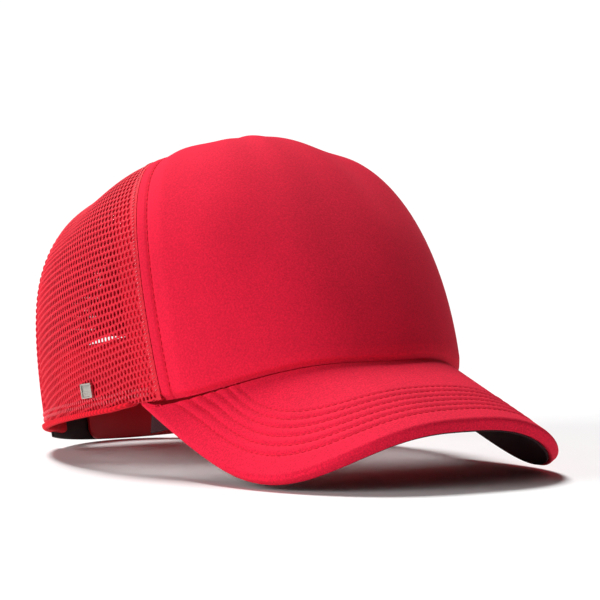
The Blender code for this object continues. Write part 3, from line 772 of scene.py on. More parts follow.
@dataclass
class MeshPanel:
    """One gore of knitted mesh whose oval holes are real, cut to its seams."""

    shop: Workshop
    first: Callable[[Array], Array]
    second: Callable[[Array], Array]
    column: float = 2.0
    row: float = 2.95
    hole_half_width: float = 0.6
    hole_half_height: float = 1.2
    slope: float = -0.2
    margin: float = 0.25
    first_margin: float = 0.0
    start: float = 0.8
    solid_edge: float = 1.2
    yarn: float = 0.24
    top: float = 0.975
    arch_half_width: float = 46.0
    arch_height: float = 50.0

    def middle_length(self) -> tuple[Array, Array]:
        """Length up the panel's middle against the meridian parameter."""
        form = self.shop.form
        t = np.linspace(0.0, self.top, 300)
        angle = (self.first(t) + self.second(t)) / 2.0
        steps = np.linalg.norm(np.diff(form.crown(angle, t), axis=0), axis=1)
        return np.concatenate(([0.0], np.cumsum(steps))), t

    def width_at(self, t: Array) -> Array:
        """Half of the panel's width at a height, in millimetres."""
        form = self.shop.form
        a, b = self.first(t), self.second(t)
        total = np.zeros_like(t)
        parts = 12
        for k in range(parts):
            p = form.crown(a + (b - a) * k / parts, t)
            q = form.crown(a + (b - a) * (k + 1) / parts, t)
            total = total + np.linalg.norm(q - p, axis=-1)
        return total / 2.0 - (self.margin + self.first_margin) / 2.0

    def cells(self) -> tuple[Array, Array, Array]:
        """Lattice of holes in the flat cloth.

        Returns:
            The eight outer and the eight hole corners of each cell, and which cells are open.
        """
        length, t = self.middle_length()
        half = self.width_at(t)
        rows = int(length[-1] / self.row) + 2
        reach = int(half.max() / self.column) + 2
        q, p = self.row, self.column
        i, j = np.meshgrid(np.arange(-reach, reach + 1), np.arange(-6, rows + 6))
        x = (i * p + (j % 2) * p / 2.0).ravel()
        y = (j * q).ravel()
        outer = np.array([(0, q * 2 / 3), (-p / 2, q / 3), (-p / 2, 0), (-p / 2, -q / 3),
                          (0, -q * 2 / 3), (p / 2, -q / 3), (p / 2, 0), (p / 2, q / 3)])
        turn = math.pi / 2.0 + np.arange(8) * math.pi / 4.0
        inner = np.stack((self.hole_half_width * np.cos(turn),
                          self.hole_half_height * np.sin(turn)), axis=-1)
        centre = np.stack((x, y), axis=-1)[:, None]
        corners, holes = centre + outer, centre + inner
        for pts in (corners, holes):
            pts[..., 1] += self.slope * pts[..., 0]
        here = np.interp(centre[:, 0, 1] + self.slope * x, length, half)
        keep = (np.abs(x) < here + p) & (corners[..., 1].max(1) > self.start)
        keep &= corners[..., 1].min(1) < length[-1]
        inside = np.abs(x) < here - self.solid_edge - p / 2.0
        return corners[keep], holes[keep], inside[keep]

    def bend(self, flat: Array, depth: Array) -> Array:
        """Bend points of the flat cloth onto the crown.

        Args:
            flat: Points across and up the flat cloth, in millimetres.
            depth: Depth of each point inside the crown's surface.

        Returns:
            Points in millimetres about the crown's centre.
        """
        form = self.shop.form
        length, t_of = self.middle_length()
        half_of = self.width_at(t_of)
        t = np.interp(np.maximum(flat[:, 1], self.start), length, t_of)
        half = np.interp(t, t_of, half_of)
        share = np.clip(flat[:, 0] / np.maximum(half, 1e-3), -1.0, 1.0)
        a, b = self.first(t), self.second(t)
        millimetre = form.turn_for((a + b) / 2.0, t, 1.0)
        a, b = a + millimetre * self.first_margin, b - millimetre * self.margin
        angle = (a + b) / 2.0 + (b - a) / 2.0 * share
        return form.soft(angle, t, depth)

    def build(self, name: str, node: str, mirror: bool, arch: bool) -> bpy.types.Object:
        """Build the panel.

        Args:
            name: The piece's name.
            node: The CAD node it stands for.
            mirror: True on the wearer's right.
            arch: True where the adjusting arch is cut out.

        Returns:
            The piece.
        """
        corners, holes, opened = self.cells()
        count = len(corners)
        points = np.concatenate((corners.reshape(-1, 2), holes.reshape(-1, 2)))
        depth = np.concatenate((np.zeros(count * 8), np.full(count * 8, 0.1)))
        solid = self.bend(points, depth)
        sign = -1.0 if mirror else 1.0
        solid[:, 0] *= sign
        keys = np.round(points * 200.0).astype(np.int64)
        _, first, index = np.unique(keys, axis=0, return_index=True, return_inverse=True)
        index = index.reshape(-1)
        solid = solid[first]
        out = index[:count * 8].reshape(count, 8)
        ins = index[count * 8:].reshape(count, 8)
        if arch:
            middle = solid[out].mean(axis=1)
            room = (middle[:, 0] / self.arch_half_width) ** 2 + (middle[:, 2] / self.arch_height) ** 2
            keep = room > 1.0
            out, ins, opened = out[keep], ins[keep], opened[keep]
        faces = []
        for ring, hole, is_open in zip(out.tolist(), ins.tolist(), opened.tolist()):
            for k in range(8):
                m = (k + 1) % 8
                faces.append((ring[k], ring[m], hole[m], hole[k]))
            if not is_open:
                faces.append(tuple(hole))
        if mirror:
            faces = [face[::-1] for face in faces]
        mesh = bpy.data.meshes.new(name)
        mesh.from_pydata(self.shop.form.world(solid).tolist(), [], faces)
        self.tidy(mesh)
        obj = self.shop.link(name, mesh, MESH_YARN, "mesh_red")
        self.shop.thicken(obj, self.yarn)
        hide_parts(node)
        length, t = self.middle_length()
        half = self.width_at(t)
        area = float(np.sum((half[1:] + half[:-1]) * np.diff(length)))
        if arch:
            area -= self.arch_half_width * self.arch_height * math.pi / 4.0
        return obj

    @staticmethod
    def tidy(mesh: bpy.types.Mesh) -> None:
        """Weld points that meet at a seam and drop loose points and empty faces."""
        bm = bmesh.new()
        bm.from_mesh(mesh)
        bmesh.ops.remove_doubles(bm, verts=bm.verts, dist=0.00004)
        bmesh.ops.dissolve_degenerate(bm, edges=bm.edges, dist=0.00003)
        loose = [v for v in bm.verts if not v.link_faces]
        bmesh.ops.delete(bm, geom=loose, context="VERTS")
        bm.to_mesh(mesh)
        bm.free()


@dataclass
class CrownMesh:
    """The four mesh gores with their seam tapes and seam stitches."""

    shop: Workshop
    tape_width: float = 16.0
    front_tape_shift: float = 3.5
    tape_depth: float = 0.5
    tape_top: float = 0.80
    tape: float = 0.6
    stitch_shift: float = 2.6
    stitch_top: float = 0.93
    overlock_shift: float = 1.5
    overlock_slant: float = 1.1
    above_arch: float = 52.2

    def build(self) -> None:
        """Build the gores, the tapes and the stitches."""
        form = self.shop.form
        side = MeshPanel(self.shop, form.front_seam, form.side_seam)
        rear = MeshPanel(self.shop, form.side_seam, form.rear_seam, slope=0.0, first_margin=0.25,
                         hole_half_width=0.38, hole_half_height=0.72, yarn=0.5)
        for label, mirror in (("right", True), ("left", False)):
            side.build(f"side_mesh_{label}_cloth", f"side_mesh_{label}", mirror, False)
            rear.build(f"rear_mesh_{label}_cloth", f"rear_mesh_{label}", mirror, True)
        arch_t = float(form.rear_place(np.array(0.0), self.above_arch)[1])
        for label, sign in (("right", -1.0), ("left", 1.0)):
            self.tape_over(f"front_seam_tape_{label}", form.front_seam, 0.012, sign,
                           self.front_tape_shift)
            self.tape_over(f"side_seam_tape_{label}", form.side_seam, 0.012, sign, 0.0)
            self.stitches(f"front_seam_overlock_{label}", form.front_seam, self.overlock_shift,
                          sign, 0.02, OVERLOCK, self.overlock_slant)
            for k, shift in enumerate((-self.stitch_shift, self.stitch_shift)):
                self.stitches(f"side_seam_stitch_{label}_{k + 1}", form.side_seam, shift, sign,
                              0.02, SEAM_STITCH)
        self.tape_over("rear_seam_tape", form.rear_seam, arch_t, 1.0, 0.0)
        for k, shift in enumerate((-self.stitch_shift, self.stitch_shift)):
            self.stitches(f"rear_seam_stitch_{k + 1}", form.rear_seam, shift, 1.0, arch_t + 0.01,
                          SEAM_STITCH)

    def tape_over(self, node: str, seam: Callable[[Array], Array], bottom: float, sign: float,
                  shift: float) -> None:
        """Lay a tape over the inside of a seam, a little proud along its middle."""
        form = self.shop.form

        def place(u: Array, v: Array) -> Array:
            """Outer face of the tape."""
            t = bottom + (self.tape_top - bottom) * v
            angle = seam(t)
            angle = angle + form.turn_for(angle, t, shift + self.tape_width * (u - 0.5))
            return form.soft(angle, t, self.tape_depth + 0.15 * (2.0 * u - 1.0) ** 2)
        use = place if sign > 0 else flipped(place)
        piece = self.shop.sheet(f"{node}_cloth", use, 16, 80, self.tape, TAPE_TWILL, "tape_red")
        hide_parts(node)
        t = np.linspace(bottom, self.tape_top, 200)
        run = np.linalg.norm(np.diff(form.crown(seam(t), t), axis=0), axis=1).sum()

    def stitches(self, name: str, seam: Callable[[Array], Array], shift: float, sign: float,
                 bottom: float, stitch: Stitch, slant: float = 0.0) -> None:
        """Sew a row beside a seam on the outside."""
        form = self.shop.form

        def place(v: Array) -> tuple[Array, Array]:
            """Angle and t of the row."""
            t = bottom + (self.stitch_top - bottom) * v
            angle = seam(t)
            return (angle + form.turn_for(angle, t, shift)) * sign, t

        self.shop.row_of(name, lambda v: form.soft(*place(v), np.full_like(v, -0.05)),
                         lambda v: form.crown_normal(*place(v)), stitch, "mesh_red", slant * sign)


# ---------------------------------------------------------------- sweatband and arch

@dataclass
class Sweatband:
    """Band inside the cap that rolls out under the mesh's bottom edge."""

    shop: Workshop
    height: float = 32.0
    foam_depth: float = 5.0
    side_depth: float = 1.2
    strap_depth: float = 4.3
    lip: float = 1.6
    turn_height: float = 0.9
    outer_depth: float = -0.5
    arch_half_width: float = 46.0
    tab_end: float = 58.0
    strap_height: float = 20.0
    lip_share: float = 0.12
    turn_share: float = 0.18
    bar_heights: tuple[float, float] = (3.9, 6.2)

    def depth(self, angle: Array) -> Array:
        """Depth of the band: behind the foam, then the mesh, then the strap's tabs."""
        form = self.shop.form
        a = np.abs(angle)
        foam_end = float(form.front_seam(np.array(0.2))) + math.radians(2)
        to_side = smooth(a, foam_end, foam_end + math.radians(11))
        tab = abs(float(form.rear_place(np.array(self.tab_end), self.strap_height)[0]))
        to_tab = smooth(a, tab - math.radians(12), tab - math.radians(2))
        depth = self.foam_depth + (self.side_depth - self.foam_depth) * to_side
        return depth + (self.strap_depth - self.side_depth) * to_tab

    def outside(self, angle: Array) -> Array:
        """How far the roll has turned out, from 0 over the visor to 1 behind it."""
        start = self.shop.form.temple() - math.radians(2.5)
        return smooth(np.abs(angle), start, start + math.radians(5))

    def profile(self, angle: Array, v: Array) -> tuple[Array, Array]:
        """Height above the edge and depth along the band's section.

        Args:
            angle: Angle round the crown.
            v: 0 at the roll's outer lip, 1 at the band's top.

        Returns:
            Height and depth in millimetres.
        """
        rolled = self.outside(angle)
        deep = self.depth(angle)
        roll_end = self.lip_share + self.turn_share
        turn = np.clip((v - self.lip_share) / self.turn_share, 0.0, 1.0) * math.pi
        middle, half = (deep + self.outer_depth) / 2.0, (deep - self.outer_depth) / 2.0
        down = np.clip(v / self.lip_share, 0.0, 1.0)
        out_above = self.lip + (self.turn_height - self.lip) * down
        out_above = out_above - (self.turn_height - 0.1) * np.sin(turn)
        climb = np.clip((v - roll_end) / (1.0 - roll_end), 0.0, 1.0)
        in_above = self.turn_height + (self.height - self.turn_height) * climb
        above = np.where(v < roll_end, out_above, in_above)
        depth = np.where(v < roll_end, middle - half * np.cos(turn), deep)
        plain = self.height * v
        return above * rolled + plain * (1.0 - rolled), depth * rolled + deep * (1.0 - rolled)

    def surface(self, u: Array, v: Array) -> Array:
        """Outer face of the band."""
        form = self.shop.form
        end = abs(float(form.rear_place(np.array(self.arch_half_width - 1.0), 0.0)[0]))
        angle = end * (2.0 * u - 1.0)
        above, depth = self.profile(angle, v)
        depth = depth + 0.1 * np.sin(angle * 90.0) * smooth(v, 0.35, 0.9)
        return form.inside(angle, form.t_above(angle, above), depth)

    def build(self) -> None:
        """Build the band and the two rows of bars that hold it."""
        band = self.shop.sheet("sweatband_cloth", self.surface, 420, 40, 0.9, BAND_TWILL,
                               "sweatband_red")
        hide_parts("sweatband")
        form = self.shop.form
        end = abs(float(form.rear_place(np.array(self.arch_half_width - 1.0), 0.0)[0]))
        angle = np.linspace(-end, end, 400)
        line = form.inside(angle, np.zeros_like(angle), np.full_like(angle, self.side_depth))
        for row, (above, bar) in enumerate(zip(self.bar_heights, (LONG_BAR, SHORT_BAR))):
            for label, sign in (("right", -1.0), ("left", 1.0)):
                self.bars(f"band_bars_{label}_{row + 1}", above, sign, bar)

    def bars(self, name: str, above: float, sign: float, bar: Stitch) -> None:
        """Sew a row of short upright bars through the mesh."""
        form = self.shop.form
        start = float(form.front_seam(np.array(0.02))) + math.radians(3.0)
        end = abs(float(form.rear_place(np.array(self.arch_half_width + 2.0), 5.0)[0]))

        def place(v: Array) -> tuple[Array, Array]:
            """Angle and t of the row."""
            angle = start + (end - start) * v
            return angle * sign, form.t_above(angle, above)

        self.shop.row_of(name, lambda v: form.inside(*place(v), np.full_like(v, -0.05)),
                         lambda v: form.crown_normal(*place(v)), bar, "sweatband_red",
                         math.pi / 2.0)


@dataclass
class ArchBinding:
    """Folded binding round the adjusting arch, with its own stitch row."""

    shop: Workshop
    half_width: float = 46.0
    height: float = 50.0
    radius: float = 1.3
    reach: float = 2.6
    gap: float = 0.3
    start_height: float = 27.0
    cad_radius: float = 1.1
    stitch_out: float = 2.4

    def build(self) -> None:
        """Build the binding and its stitches."""
        form = self.shop.form
        inset = self.cad_radius + self.gap
        wide, tall = self.half_width - inset, self.height - inset
        start = math.asin(self.start_height / tall)

        def arc(v: Array, out: Array | float, depth: Array | float) -> Array:
            """Point beside the arch's edge."""
            a = start + (math.pi - 2.0 * start) * v
            x, z = (wide + out) * np.cos(a), (tall + out) * np.sin(a)
            return form.rear(x, z, depth)

        def tube(u: Array, v: Array) -> Array:
            """Flattened tube that folds over the edge."""
            turn = 2.0 * math.pi * u
            out = 0.9 + self.reach * np.cos(turn)
            return arc(v, out, 0.5 - self.radius * np.sin(turn))
        mesh = self.shop.grid("arch_binding", tube, 24, 90)
        piece = self.shop.link("rear_arch_binding_cloth", mesh, TAPE_TWILL, "tape_red")
        weld = piece.modifiers.new("join", "WELD")
        weld.merge_threshold = 0.00005
        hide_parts("rear_arch_binding")
        out = self.stitch_out
        self.shop.row_of("arch_binding_stitch", lambda v: arc(v, out, np.full_like(v, -0.45)),
                         lambda v: arc(v, out, np.full_like(v, -2.0)) - arc(v, out, 0.0 * v),
                         BINDING_STITCH, "tape_red")


# ---------------------------------------------------------------- visor

@dataclass
class Visor:
    """Curved visor: knit cover with six stitched channels and a thick rolled edge."""

    shop: Workshop
    cover: float = 0.8
    edge_radius: float = 2.2
    stack: float = 6.6
    rows: int = 6
    first_row: float = 10.5
    row_pitch: float = 4.6
    groove: float = 0.32
    pillow: float = 0.2
    rim_height: float = 5.7
    foam: float = 2.0
    board: float = 1.6
    under: float = 0.7
    layer_gap: float = 0.5
    layer_end: float = 1.2
    under_end: float = 1.47
    channel: float = 0.75
    lip: float = 1.0
    lip_reach: float = 1.6
    flat_share: float = 0.86
    turn_share: float = 0.45
    back_share: float = 0.2
    row_reach: float = 1.28

    def relief(self, from_edge: Array, s: Array) -> Array:
        """Height of the knit over the plain visor: channels between stitch rows."""
        height = np.zeros_like(from_edge)
        fade = 1.0 - smooth(np.abs(s), 1.25, 1.45)
        for k in range(self.rows):
            row = self.first_row + k * self.row_pitch
            height = height - self.groove * bump(from_edge, row, self.channel)
        middle = (from_edge - self.first_row) / self.row_pitch
        within = (middle > 0.0) & (middle < self.rows - 1)
        height = height + np.where(within, self.pillow * np.sin(np.pi * middle) ** 2, 0.0)
        return height * fade

    def top(self, u: Array, v: Array) -> Array:
        """Outer face of the knit: the top, the rolled edge, the rim and its return."""
        form = self.shop.form
        s = 1.5 - 3.0 * u
        flat_v = np.clip(v / self.flat_share, 0.0, 1.0)
        edge = form.visor(s, np.ones_like(s), 0.0, self.edge_radius)
        flat = form.visor(s, flat_v, 0.0, self.edge_radius)
        root = form.visor(s, np.zeros_like(s), 0.0, self.edge_radius)
        length = np.linalg.norm(edge - root, axis=-1)
        from_edge = (1.0 - flat_v) * length + self.edge_radius
        flat_n = form.visor_normal(flat[..., 0], flat[..., 1])
        flat = flat + flat_n * self.relief(from_edge, s)[..., None]
        n = form.visor_normal(edge[..., 0], edge[..., 1])
        out = np.concatenate((form.visor_outward(s), np.zeros_like(s)[..., None]), axis=-1)
        out = unit(out - n * np.sum(out * n, axis=-1, keepdims=True))
        w = np.clip((v - self.flat_share) / (1.0 - self.flat_share), 0.0, 1.0)
        turn = np.clip(w / self.turn_share, 0.0, 1.0) * math.pi / 2.0
        fall_share = 1.0 - self.turn_share - self.back_share
        fall = np.clip((w - self.turn_share) / fall_share, 0.0, 1.0)
        back = np.clip((w + self.back_share - 1.0) / self.back_share, 0.0, 1.0) * math.pi / 2.0
        down = self.edge_radius * (1.0 - np.cos(turn)) + self.lip * np.sin(back)
        down = down + fall * (self.rim_height - self.edge_radius - self.lip)
        side = self.edge_radius * np.sin(turn) - self.lip_reach * (1.0 - np.cos(back))
        rim = edge + out * side[..., None] - n * down[..., None]
        return np.where((v <= self.flat_share)[..., None], flat, rim)

    def row_line(self, offset: float, depth: float) -> tuple[Callable[[Array], Array],
                                                             Callable[[Array], Array]]:
        """Line of one stitch row at a distance from the visor's edge, and its normal."""
        form = self.shop.form

        def place(w: Array) -> tuple[Array, Array]:
            """Across and along values of the row."""
            s = self.row_reach * (2.0 * w - 1.0)
            edge = form.visor(s, np.ones_like(s), 0.0, self.edge_radius)
            root = form.visor(s, np.zeros_like(s), 0.0, self.edge_radius)
            length = np.linalg.norm(edge - root, axis=-1)
            return s, 1.0 - (offset - self.edge_radius) / length

        def line(w: Array) -> Array:
            """Points of the row."""
            s, v = place(w)
            return form.visor(s, v, depth, self.edge_radius)

        def lift(w: Array) -> Array:
            """Direction away from the visor."""
            p = line(w)
            n = form.visor_normal(p[..., 0], p[..., 1])
            return n if depth < self.stack / 2.0 else -n
        return line, lift

    def build(self) -> None:
        """Build the cover, the layers under it and every stitch row."""
        shop, form = self.shop, self.shop.form
        cover = shop.sheet("visor_cover_knit", self.top, 260, 190, self.cover, VISOR_KNIT, "visor_red")
        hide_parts("visor_top_cover")
        inset = self.cover + 2.0 * self.layer_gap
        depth = self.cover + self.layer_gap
        layers = (
            ("visor_padding", "visor_top_foam", self.foam, LINING_FOAM_PAINTED_SHADE, "lining_foam"),
            ("visor_stiffener", "visor_board", self.board, BOARD, "board_plastic"),
            ("visor_lining", "visor_under_cover", self.under, UNDER_CLOTH_PAINTED_BOUNCE, "visor_under_black"),
        )
        for name, node, thickness, finish, slot in layers:
            end = self.layer_end if node != "visor_under_cover" else self.under_end

            def place(u: Array, v: Array, depth: float = depth, end: float = end) -> Array:
                """Outer face of the layer."""
                return form.visor(end * (1.0 - 2.0 * u), v, depth, inset)
            piece = shop.sheet(name, place, 120, 40, thickness, finish, slot)
            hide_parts(node)
            depth += thickness + self.layer_gap
        for k in range(self.rows):
            offset = self.first_row + k * self.row_pitch
            line, lift = self.row_line(offset, 0.32)
            shop.row_of(f"visor_stitch_top_{k + 1}", line, lift, VISOR_STITCH, "visor_red")
            line, lift = self.row_line(offset, self.stack - 0.45)
            shop.row_of(f"visor_stitch_under_{k + 1}", line, lift, UNDER_STITCH,
                        "visor_under_black")


# ---------------------------------------------------------------- snap strap

@dataclass
class StrapHalf:
    """One half of the snap strap: a moulded strip with holes or with pegs."""

    shop: Workshop
    side: int
    depth: float
    finish: Finish
    slot: str
    thickness: float = 1.2
    height: float = 20.0
    rear_edge: float = 3.2
    hinge_x: float = 41.0
    hinge_gap: float = 1.6
    tab_end: float = 58.0
    pitch: float = 8.0
    count: int = 7
    engaged: int = 5
    end_margin: float = 6.0
    peg_radius: float = 1.6
    peg_length: float = 2.2
    hole_half: tuple[float, float] = (3.0, 2.2)
    corner_radius: float = 6.0
    cutter_reach: float = 3.0
    peg_root: float = 0.4
    peg_round: float = 0.6
    edge_round: float = 0.35
    blend_share: float = 1.6

    def places(self) -> list[float]:
        """Distance of each snap from the middle, on this half's own axis."""
        first = -(self.engaged - 1) / 2.0 * self.pitch
        return [first + self.pitch * i for i in range(self.count)]

    def flat(self, name: str) -> bpy.types.Object:
        """Model the half flat: X along the strap from its free end, Y up, Z outwards.

        Args:
            name: The object's name.

        Returns:
            The flat object in millimetres, its modifiers applied.
        """
        free = min(self.places()) - self.end_margin
        length = self.tab_end - free
        bm = bmesh.new()
        bmesh.ops.create_cube(bm, size=1.0)
        bm.transform(Matrix.Translation((free + length / 2.0, 0.0, 0.0))
                     @ Matrix.Diagonal((length, self.height, self.thickness, 1.0)))
        ends = [e for e in bm.edges if all(v.co.x < free + 0.1 for v in e.verts)
                and abs(e.verts[0].co.z - e.verts[1].co.z) > 0.5]
        bmesh.ops.bevel(bm, geom=ends, offset=self.corner_radius, segments=10, affect="EDGES",
                        profile=0.5)
        bm.normal_update()
        mesh = bpy.data.meshes.new(name)
        bm.to_mesh(mesh)
        bm.free()
        obj = bpy.data.objects.new(name, mesh)
        bpy.context.scene.collection.objects.link(obj)
        tools = []
        for x in self.places() if self.side > 0 else self.places()[:self.engaged]:
            if self.side < 0:
                tools.append((self.bar(x), "DIFFERENCE"))
            else:
                tools.append((self.peg(x), "UNION"))
        for tool, operation in tools:
            mod = obj.modifiers.new(operation, "BOOLEAN")
            mod.object = tool
            mod.operation = operation
        self.apply(obj)
        for tool, _ in tools:
            bpy.data.objects.remove(tool, do_unlink=True)
        return obj

    def bar(self, x: float) -> bpy.types.Object:
        """Oval bar square to the flat strap, which cuts one hole."""
        bm = bmesh.new()
        bmesh.ops.create_cone(bm, cap_ends=True, segments=28, radius1=1.0, radius2=1.0,
                              depth=2.0 * self.cutter_reach)
        bm.transform(Matrix.Translation((x, 0.0, 0.0)) @ Matrix.Diagonal((*self.hole_half, 1.0, 1.0)))
        return self.tool(bm)

    def peg(self, x: float) -> bpy.types.Object:
        """Snap peg with a domed head, reaching outwards."""
        bm = bmesh.new()
        bmesh.ops.create_cone(bm, cap_ends=True, segments=24, radius1=self.peg_radius,
                              radius2=self.peg_radius, depth=self.peg_length + self.peg_root)
        bmesh.ops.bevel(bm, geom=[e for e in bm.edges if all(v.co.z > 0 for v in e.verts)],
                        offset=self.peg_round, segments=4, affect="EDGES", profile=0.5)
        middle = (self.thickness + self.peg_length - self.peg_root) / 2.0
        bm.transform(Matrix.Translation((x, 0.0, middle)))
        return self.tool(bm)

    @staticmethod
    def tool(bm: bmesh.types.BMesh) -> bpy.types.Object:
        """Link a scratch object for a Boolean."""
        mesh = bpy.data.meshes.new("tool")
        bm.to_mesh(mesh)
        bm.free()
        obj = bpy.data.objects.new("tool", mesh)
        bpy.context.scene.collection.objects.link(obj)
        return obj

    @staticmethod
    def apply(obj: bpy.types.Object) -> None:
        """Replace an object's mesh by its evaluated one and drop its modifiers."""
        graph = bpy.context.evaluated_depsgraph_get()
        mesh = bpy.data.meshes.new_from_object(obj.evaluated_get(graph))
        obj.modifiers.clear()
        obj.data = mesh

    def build(self, name: str, nodes: Sequence[str], body: str) -> None:
        """Build the half bent to the cap.

        Args:
            name: The piece's name.
            nodes: The CAD nodes it stands for.
            body: The body meant for its free part; not used.
        """
        obj = self.flat(name)
        rounding = obj.modifiers.new("rounding", "BEVEL")
        rounding.width = self.edge_round
        rounding.segments = 2
        rounding.limit_method = "ANGLE"
        self.apply(obj)
        bm = bmesh.new()
        bm.from_mesh(obj.data)
        free = min(self.places()) - self.end_margin
        cuts = int(self.tab_end - free)
        for k in range(1, cuts):
            geom = bm.verts[:] + bm.edges[:] + bm.faces[:]
            bmesh.ops.bisect_plane(bm, geom=geom, plane_co=(free + k, 0, 0), plane_no=(1, 0, 0))
        bm.to_mesh(obj.data)
        bm.free()
        flat = np.zeros(len(obj.data.vertices) * 3)
        obj.data.vertices.foreach_get("co", flat)
        flat = flat.reshape(-1, 3)
        middle = self.height / 2.0 - self.rear_edge
        depth = self.depth + self.thickness / 2.0 - flat[:, 2]
        points = self.shop.form.strap(flat[:, 0] * self.side, flat[:, 1] + middle, depth)
        obj.data.vertices.foreach_set("co", self.shop.form.world(points).ravel())
        if self.side < 0:
            obj.data.flip_normals()
        obj.data.update()
        obj.data.shade_smooth()
        obj.data.set_sharp_from_angle(angle=math.radians(35))
        self.shop.dress(obj, self.finish)
        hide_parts(*nodes)
        form, gap = self.shop.form, self.hinge_gap * self.blend_share
        ends = [form.world(form.strap(np.array(self.side * (self.hinge_x + shift)),
                                      np.array(middle), np.array(self.depth + self.thickness / 2.0)))
                for shift in (gap, -gap)]
        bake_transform(obj)
        LOG.info("%s: %d faces", name, len(obj.data.polygons))


# ---------------------------------------------------------------- button and badge

@dataclass
class TopButton:
    """Knit-covered button at the crown's centre, over its rivet and washer."""

    shop: Workshop
    radius: float = 7.5
    height: float = 3.6
    standoff: float = 2.4
    tilt: float = 28.0
    dome_share: float = 0.7
    gather: float = 0.12
    gathers: float = 12.0

    def build(self) -> None:
        """Build the button."""
        form = self.shop.form
        tilt = math.radians(self.tilt)
        axis = np.array((0.0, math.sin(tilt), math.cos(tilt)))
        right = np.array((1.0, 0.0, 0.0))
        ahead = np.cross(axis, right)
        apex = np.array((0.0, form.apex_behind, form.apex_height))

        def place(u: Array, v: Array) -> Array:
            """Dome, rolled edge and underside; gathers show under the edge."""
            turn = -2.0 * math.pi * u
            sweep = np.clip(v / self.dome_share, 0.0, 1.0) * math.pi / 2.0
            under = np.clip((v - self.dome_share) / (1.0 - self.dome_share), 0.0, 1.0)
            r = self.radius * np.sin(sweep) * (1.0 - 0.72 * under)
            r = np.maximum(r, 0.02)
            h = self.standoff + 1.0 + (self.height - 1.0) * np.cos(sweep)
            h = h - 1.0 * np.sin(np.minimum(under * 2.0, 1.0) * math.pi / 2.0)
            r = r + self.gather * np.cos(self.gathers * turn) * smooth(v, 0.45, self.dome_share)
            ring = np.cos(turn)[..., None] * right + np.sin(turn)[..., None] * ahead
            return apex + ring * r[..., None] + axis * h[..., None]
        mesh = self.shop.grid("button", place, 96, 30)
        piece = self.shop.link("top_button_knit", mesh, BUTTON_KNIT, "button_red")
        weld = piece.modifiers.new("join", "WELD")
        weld.merge_threshold = 0.00005
        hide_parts("top_button")


@dataclass
class Badge:
    """Small metal plate on the wearer's right with a plain raised border and bars."""

    shop: Workshop
    angle: float = -86.6
    above: float = 10.6
    tilt: float = 9.0
    width: float = 7.5
    height: float = 6.4
    thickness: float = 0.8
    gap: float = 0.3
    border: float = 0.7
    border_height: float = 0.4
    bars: int = 3
    bar_pitch: float = 0.7
    bar_width: float = 0.35
    bar_height: float = 0.3
    first_bar: float = -0.4
    edge_round: float = 0.08

    def build(self) -> None:
        """Build the plate on its own flat, outwards along Z."""
        form = self.shop.form
        angle = np.array(math.radians(self.angle))
        t = form.t_above(angle, self.above)
        centre, z = form.crown(angle, t), form.crown_normal(angle, t)
        level = unit(np.cross(np.array((0.0, 0.0, 1.0)), z))
        tilt = math.radians(self.tilt)
        x = level * math.cos(tilt) + np.cross(z, level) * math.sin(tilt)
        y = np.cross(z, x)
        bm = bmesh.new()
        face, lift = self.gap + self.thickness, self.border_height / 4.0
        blocks = [((0.0, 0.0, self.gap + self.thickness / 2.0),
                   (self.width, self.height, self.thickness))]
        for side in (-1.0, 1.0):
            blocks.append(((side * (self.width - self.border) / 2.0, 0.0, face + lift),
                           (self.border, self.height, self.border_height)))
            blocks.append(((0.0, side * (self.height - self.border) / 2.0, face + lift),
                           (self.width - 2.0 * self.border, self.border, self.border_height)))
        for k in range(self.bars):
            blocks.append(((0.0, self.first_bar - self.bar_pitch * k, face),
                           (self.width - 3.0 * self.border, self.bar_width, self.bar_height)))
        for middle, size in blocks:
            bmesh.ops.create_cube(bm, size=1.0, matrix=Matrix.Translation(middle)
                                  @ Matrix.Diagonal((*size, 1.0)))
        bmesh.ops.bevel(bm, geom=bm.edges[:], offset=self.edge_round, segments=2, affect="EDGES",
                        profile=0.5)
        for vert in bm.verts:
            p = centre + x * vert.co.x + y * vert.co.y + z * vert.co.z
            vert.co = Vector(form.world(p))
        mesh = bpy.data.meshes.new("badge")
        bm.to_mesh(mesh)
        bm.free()
        piece = self.shop.link("badge_tag", mesh, BADGE, "badge_metal")
        mesh.set_sharp_from_angle(angle=math.radians(30))
        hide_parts("badge_plate")


# ---------------------------------------------------------------- studio

def direction(azimuth: float, elevation: float) -> Vector:
    """Direction from the cap to a place round it, from angles in degrees."""
    a, e = math.radians(azimuth), math.radians(elevation)
    return Vector((math.sin(a) * math.cos(e), -math.cos(a) * math.cos(e), math.sin(e)))


@dataclass(frozen=True)
class SoftLight:
    """One broad light: its turn from the camera, height, strength and apparent size."""

    name: str
    turn: float
    rise: float
    strength: float
    size: float

    def place(self, camera_azimuth: float) -> None:
        """Add the light, aimed at the cap."""
        data = bpy.data.lights.new(self.name, "SUN")
        data.energy = self.strength
        data.angle = math.radians(self.size)
        lamp = bpy.data.objects.new(self.name, data)
        lamp.rotation_mode = "QUATERNION"
        back = direction(camera_azimuth + self.turn, self.rise)
        lamp.rotation_quaternion = back.to_track_quat("Z", "Y")
        bpy.context.scene.collection.objects.link(lamp)


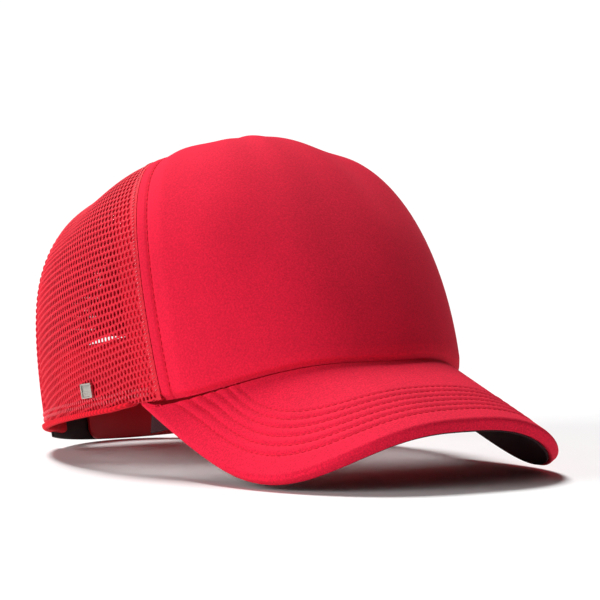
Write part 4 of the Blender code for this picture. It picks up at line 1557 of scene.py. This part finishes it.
@dataclass
class Studio:
    """Plain pale floor, two soft lights from the left, a pale surround and the camera."""

    azimuth: float = -35.08
    elevation: float = 3.5
    distance: float = 1.8
    target: tuple[float, float, float] = (0.02918, 0.02734, 0.06786)
    lens: float = 244.8
    key: SoftLight = SoftLight("key", -150.0, 60.0, 3.55, 20.0)
    side: SoftLight = SoftLight("side", -58.0, 17.0, 2.1, 34.0)
    surround: float = 0.035
    backdrop: float = 1.05
    floor_half: float = 30.0
    floor_white: float = 0.9

    def build(self) -> None:
        """Build the floor, the lights, the surround and the camera."""
        bm = bmesh.new()
        bmesh.ops.create_grid(bm, x_segments=2, y_segments=2, size=self.floor_half)
        mesh = bpy.data.meshes.new("floor")
        bm.to_mesh(mesh)
        bm.free()
        floor = bpy.data.objects.new("floor", mesh)
        bpy.context.scene.collection.objects.link(floor)
        mat = bpy.data.materials.new("floor_white")
        mat.use_nodes = True
        shader = mat.node_tree.nodes["Principled BSDF"]
        shader.inputs["Base Color"].default_value = (*(self.floor_white,) * 3, 1.0)
        shader.inputs["Roughness"].default_value = 0.8
        shader.inputs["Specular IOR Level"].default_value = 0.1
        mesh.materials.append(mat)
        self.key.place(self.azimuth)
        self.side.place(self.azimuth)
        self.surround_world()
        self.camera()

    def surround_world(self) -> None:
        """White where it is seen, dimmer as a fill light."""
        world = bpy.data.worlds.new("surround")
        world.use_nodes = True
        tree = world.node_tree
        background = tree.nodes["Background"]
        path = tree.nodes.new("ShaderNodeLightPath")
        level = tree.nodes.new("ShaderNodeMapRange")
        level.inputs["To Min"].default_value = self.surround
        level.inputs["To Max"].default_value = self.backdrop
        tree.links.new(path.outputs["Is Camera Ray"], level.inputs["Value"])
        tree.links.new(level.outputs["Result"], background.inputs["Strength"])
        background.inputs["Color"].default_value = (1.0, 1.0, 1.0, 1.0)
        bpy.context.scene.world = world
        bpy.context.scene.view_settings.view_transform = "Standard"

    def camera(self) -> None:
        """Set the camera at the chosen angle."""
        back = direction(self.azimuth, self.elevation)
        data = bpy.data.cameras.new("camera")
        data.sensor_width = 36.0
        data.lens = self.lens
        data.clip_start, data.clip_end = 0.1, 100.0
        camera = bpy.data.objects.new("camera", data)
        camera.location = Vector(self.target) + back * self.distance
        camera.rotation_mode = "QUATERNION"
        camera.rotation_quaternion = back.to_track_quat("Z", "Y")
        bpy.context.scene.collection.objects.link(camera)
        bpy.context.scene.camera = camera


def finish_frame_pieces(shop: Workshop) -> None:
    """Give every frame piece that still shows its own procedural finish."""
    for name, finish in (("top_button_rivet", RIVET), ("top_button_washer", RIVET),
                         ("badge_clinch_plate", BADGE)):
        shop.dress(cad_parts[name], finish)


def main() -> None:
    """Build every sub-assembly in order."""
    logging.basicConfig(level=logging.INFO, format="%(name)s %(message)s")
    shop = Workshop(CapForm())
    Studio().build()
    FrontPanel(shop).build()
    CrownMesh(shop).build()
    Sweatband(shop).build()
    ArchBinding(shop).build()
    Visor(shop).build()
    StrapHalf(shop, side=-1, depth=1.3, finish=BLACK_STRAP, slot="strap_black").build(
        "hole_strap_moulding", ("hole_strap", "hole_strap_tab"), "hole_strap")
    StrapHalf(shop, side=1, depth=2.8, finish=RED_STRAP, slot="strap_red").build(
        "peg_strap_moulding", ("peg_strap", "peg_strap_tab"), "peg_strap")
    TopButton(shop).build()
    Badge(shop).build()
    finish_frame_pieces(shop)


if __name__ == "__main__":
    main()
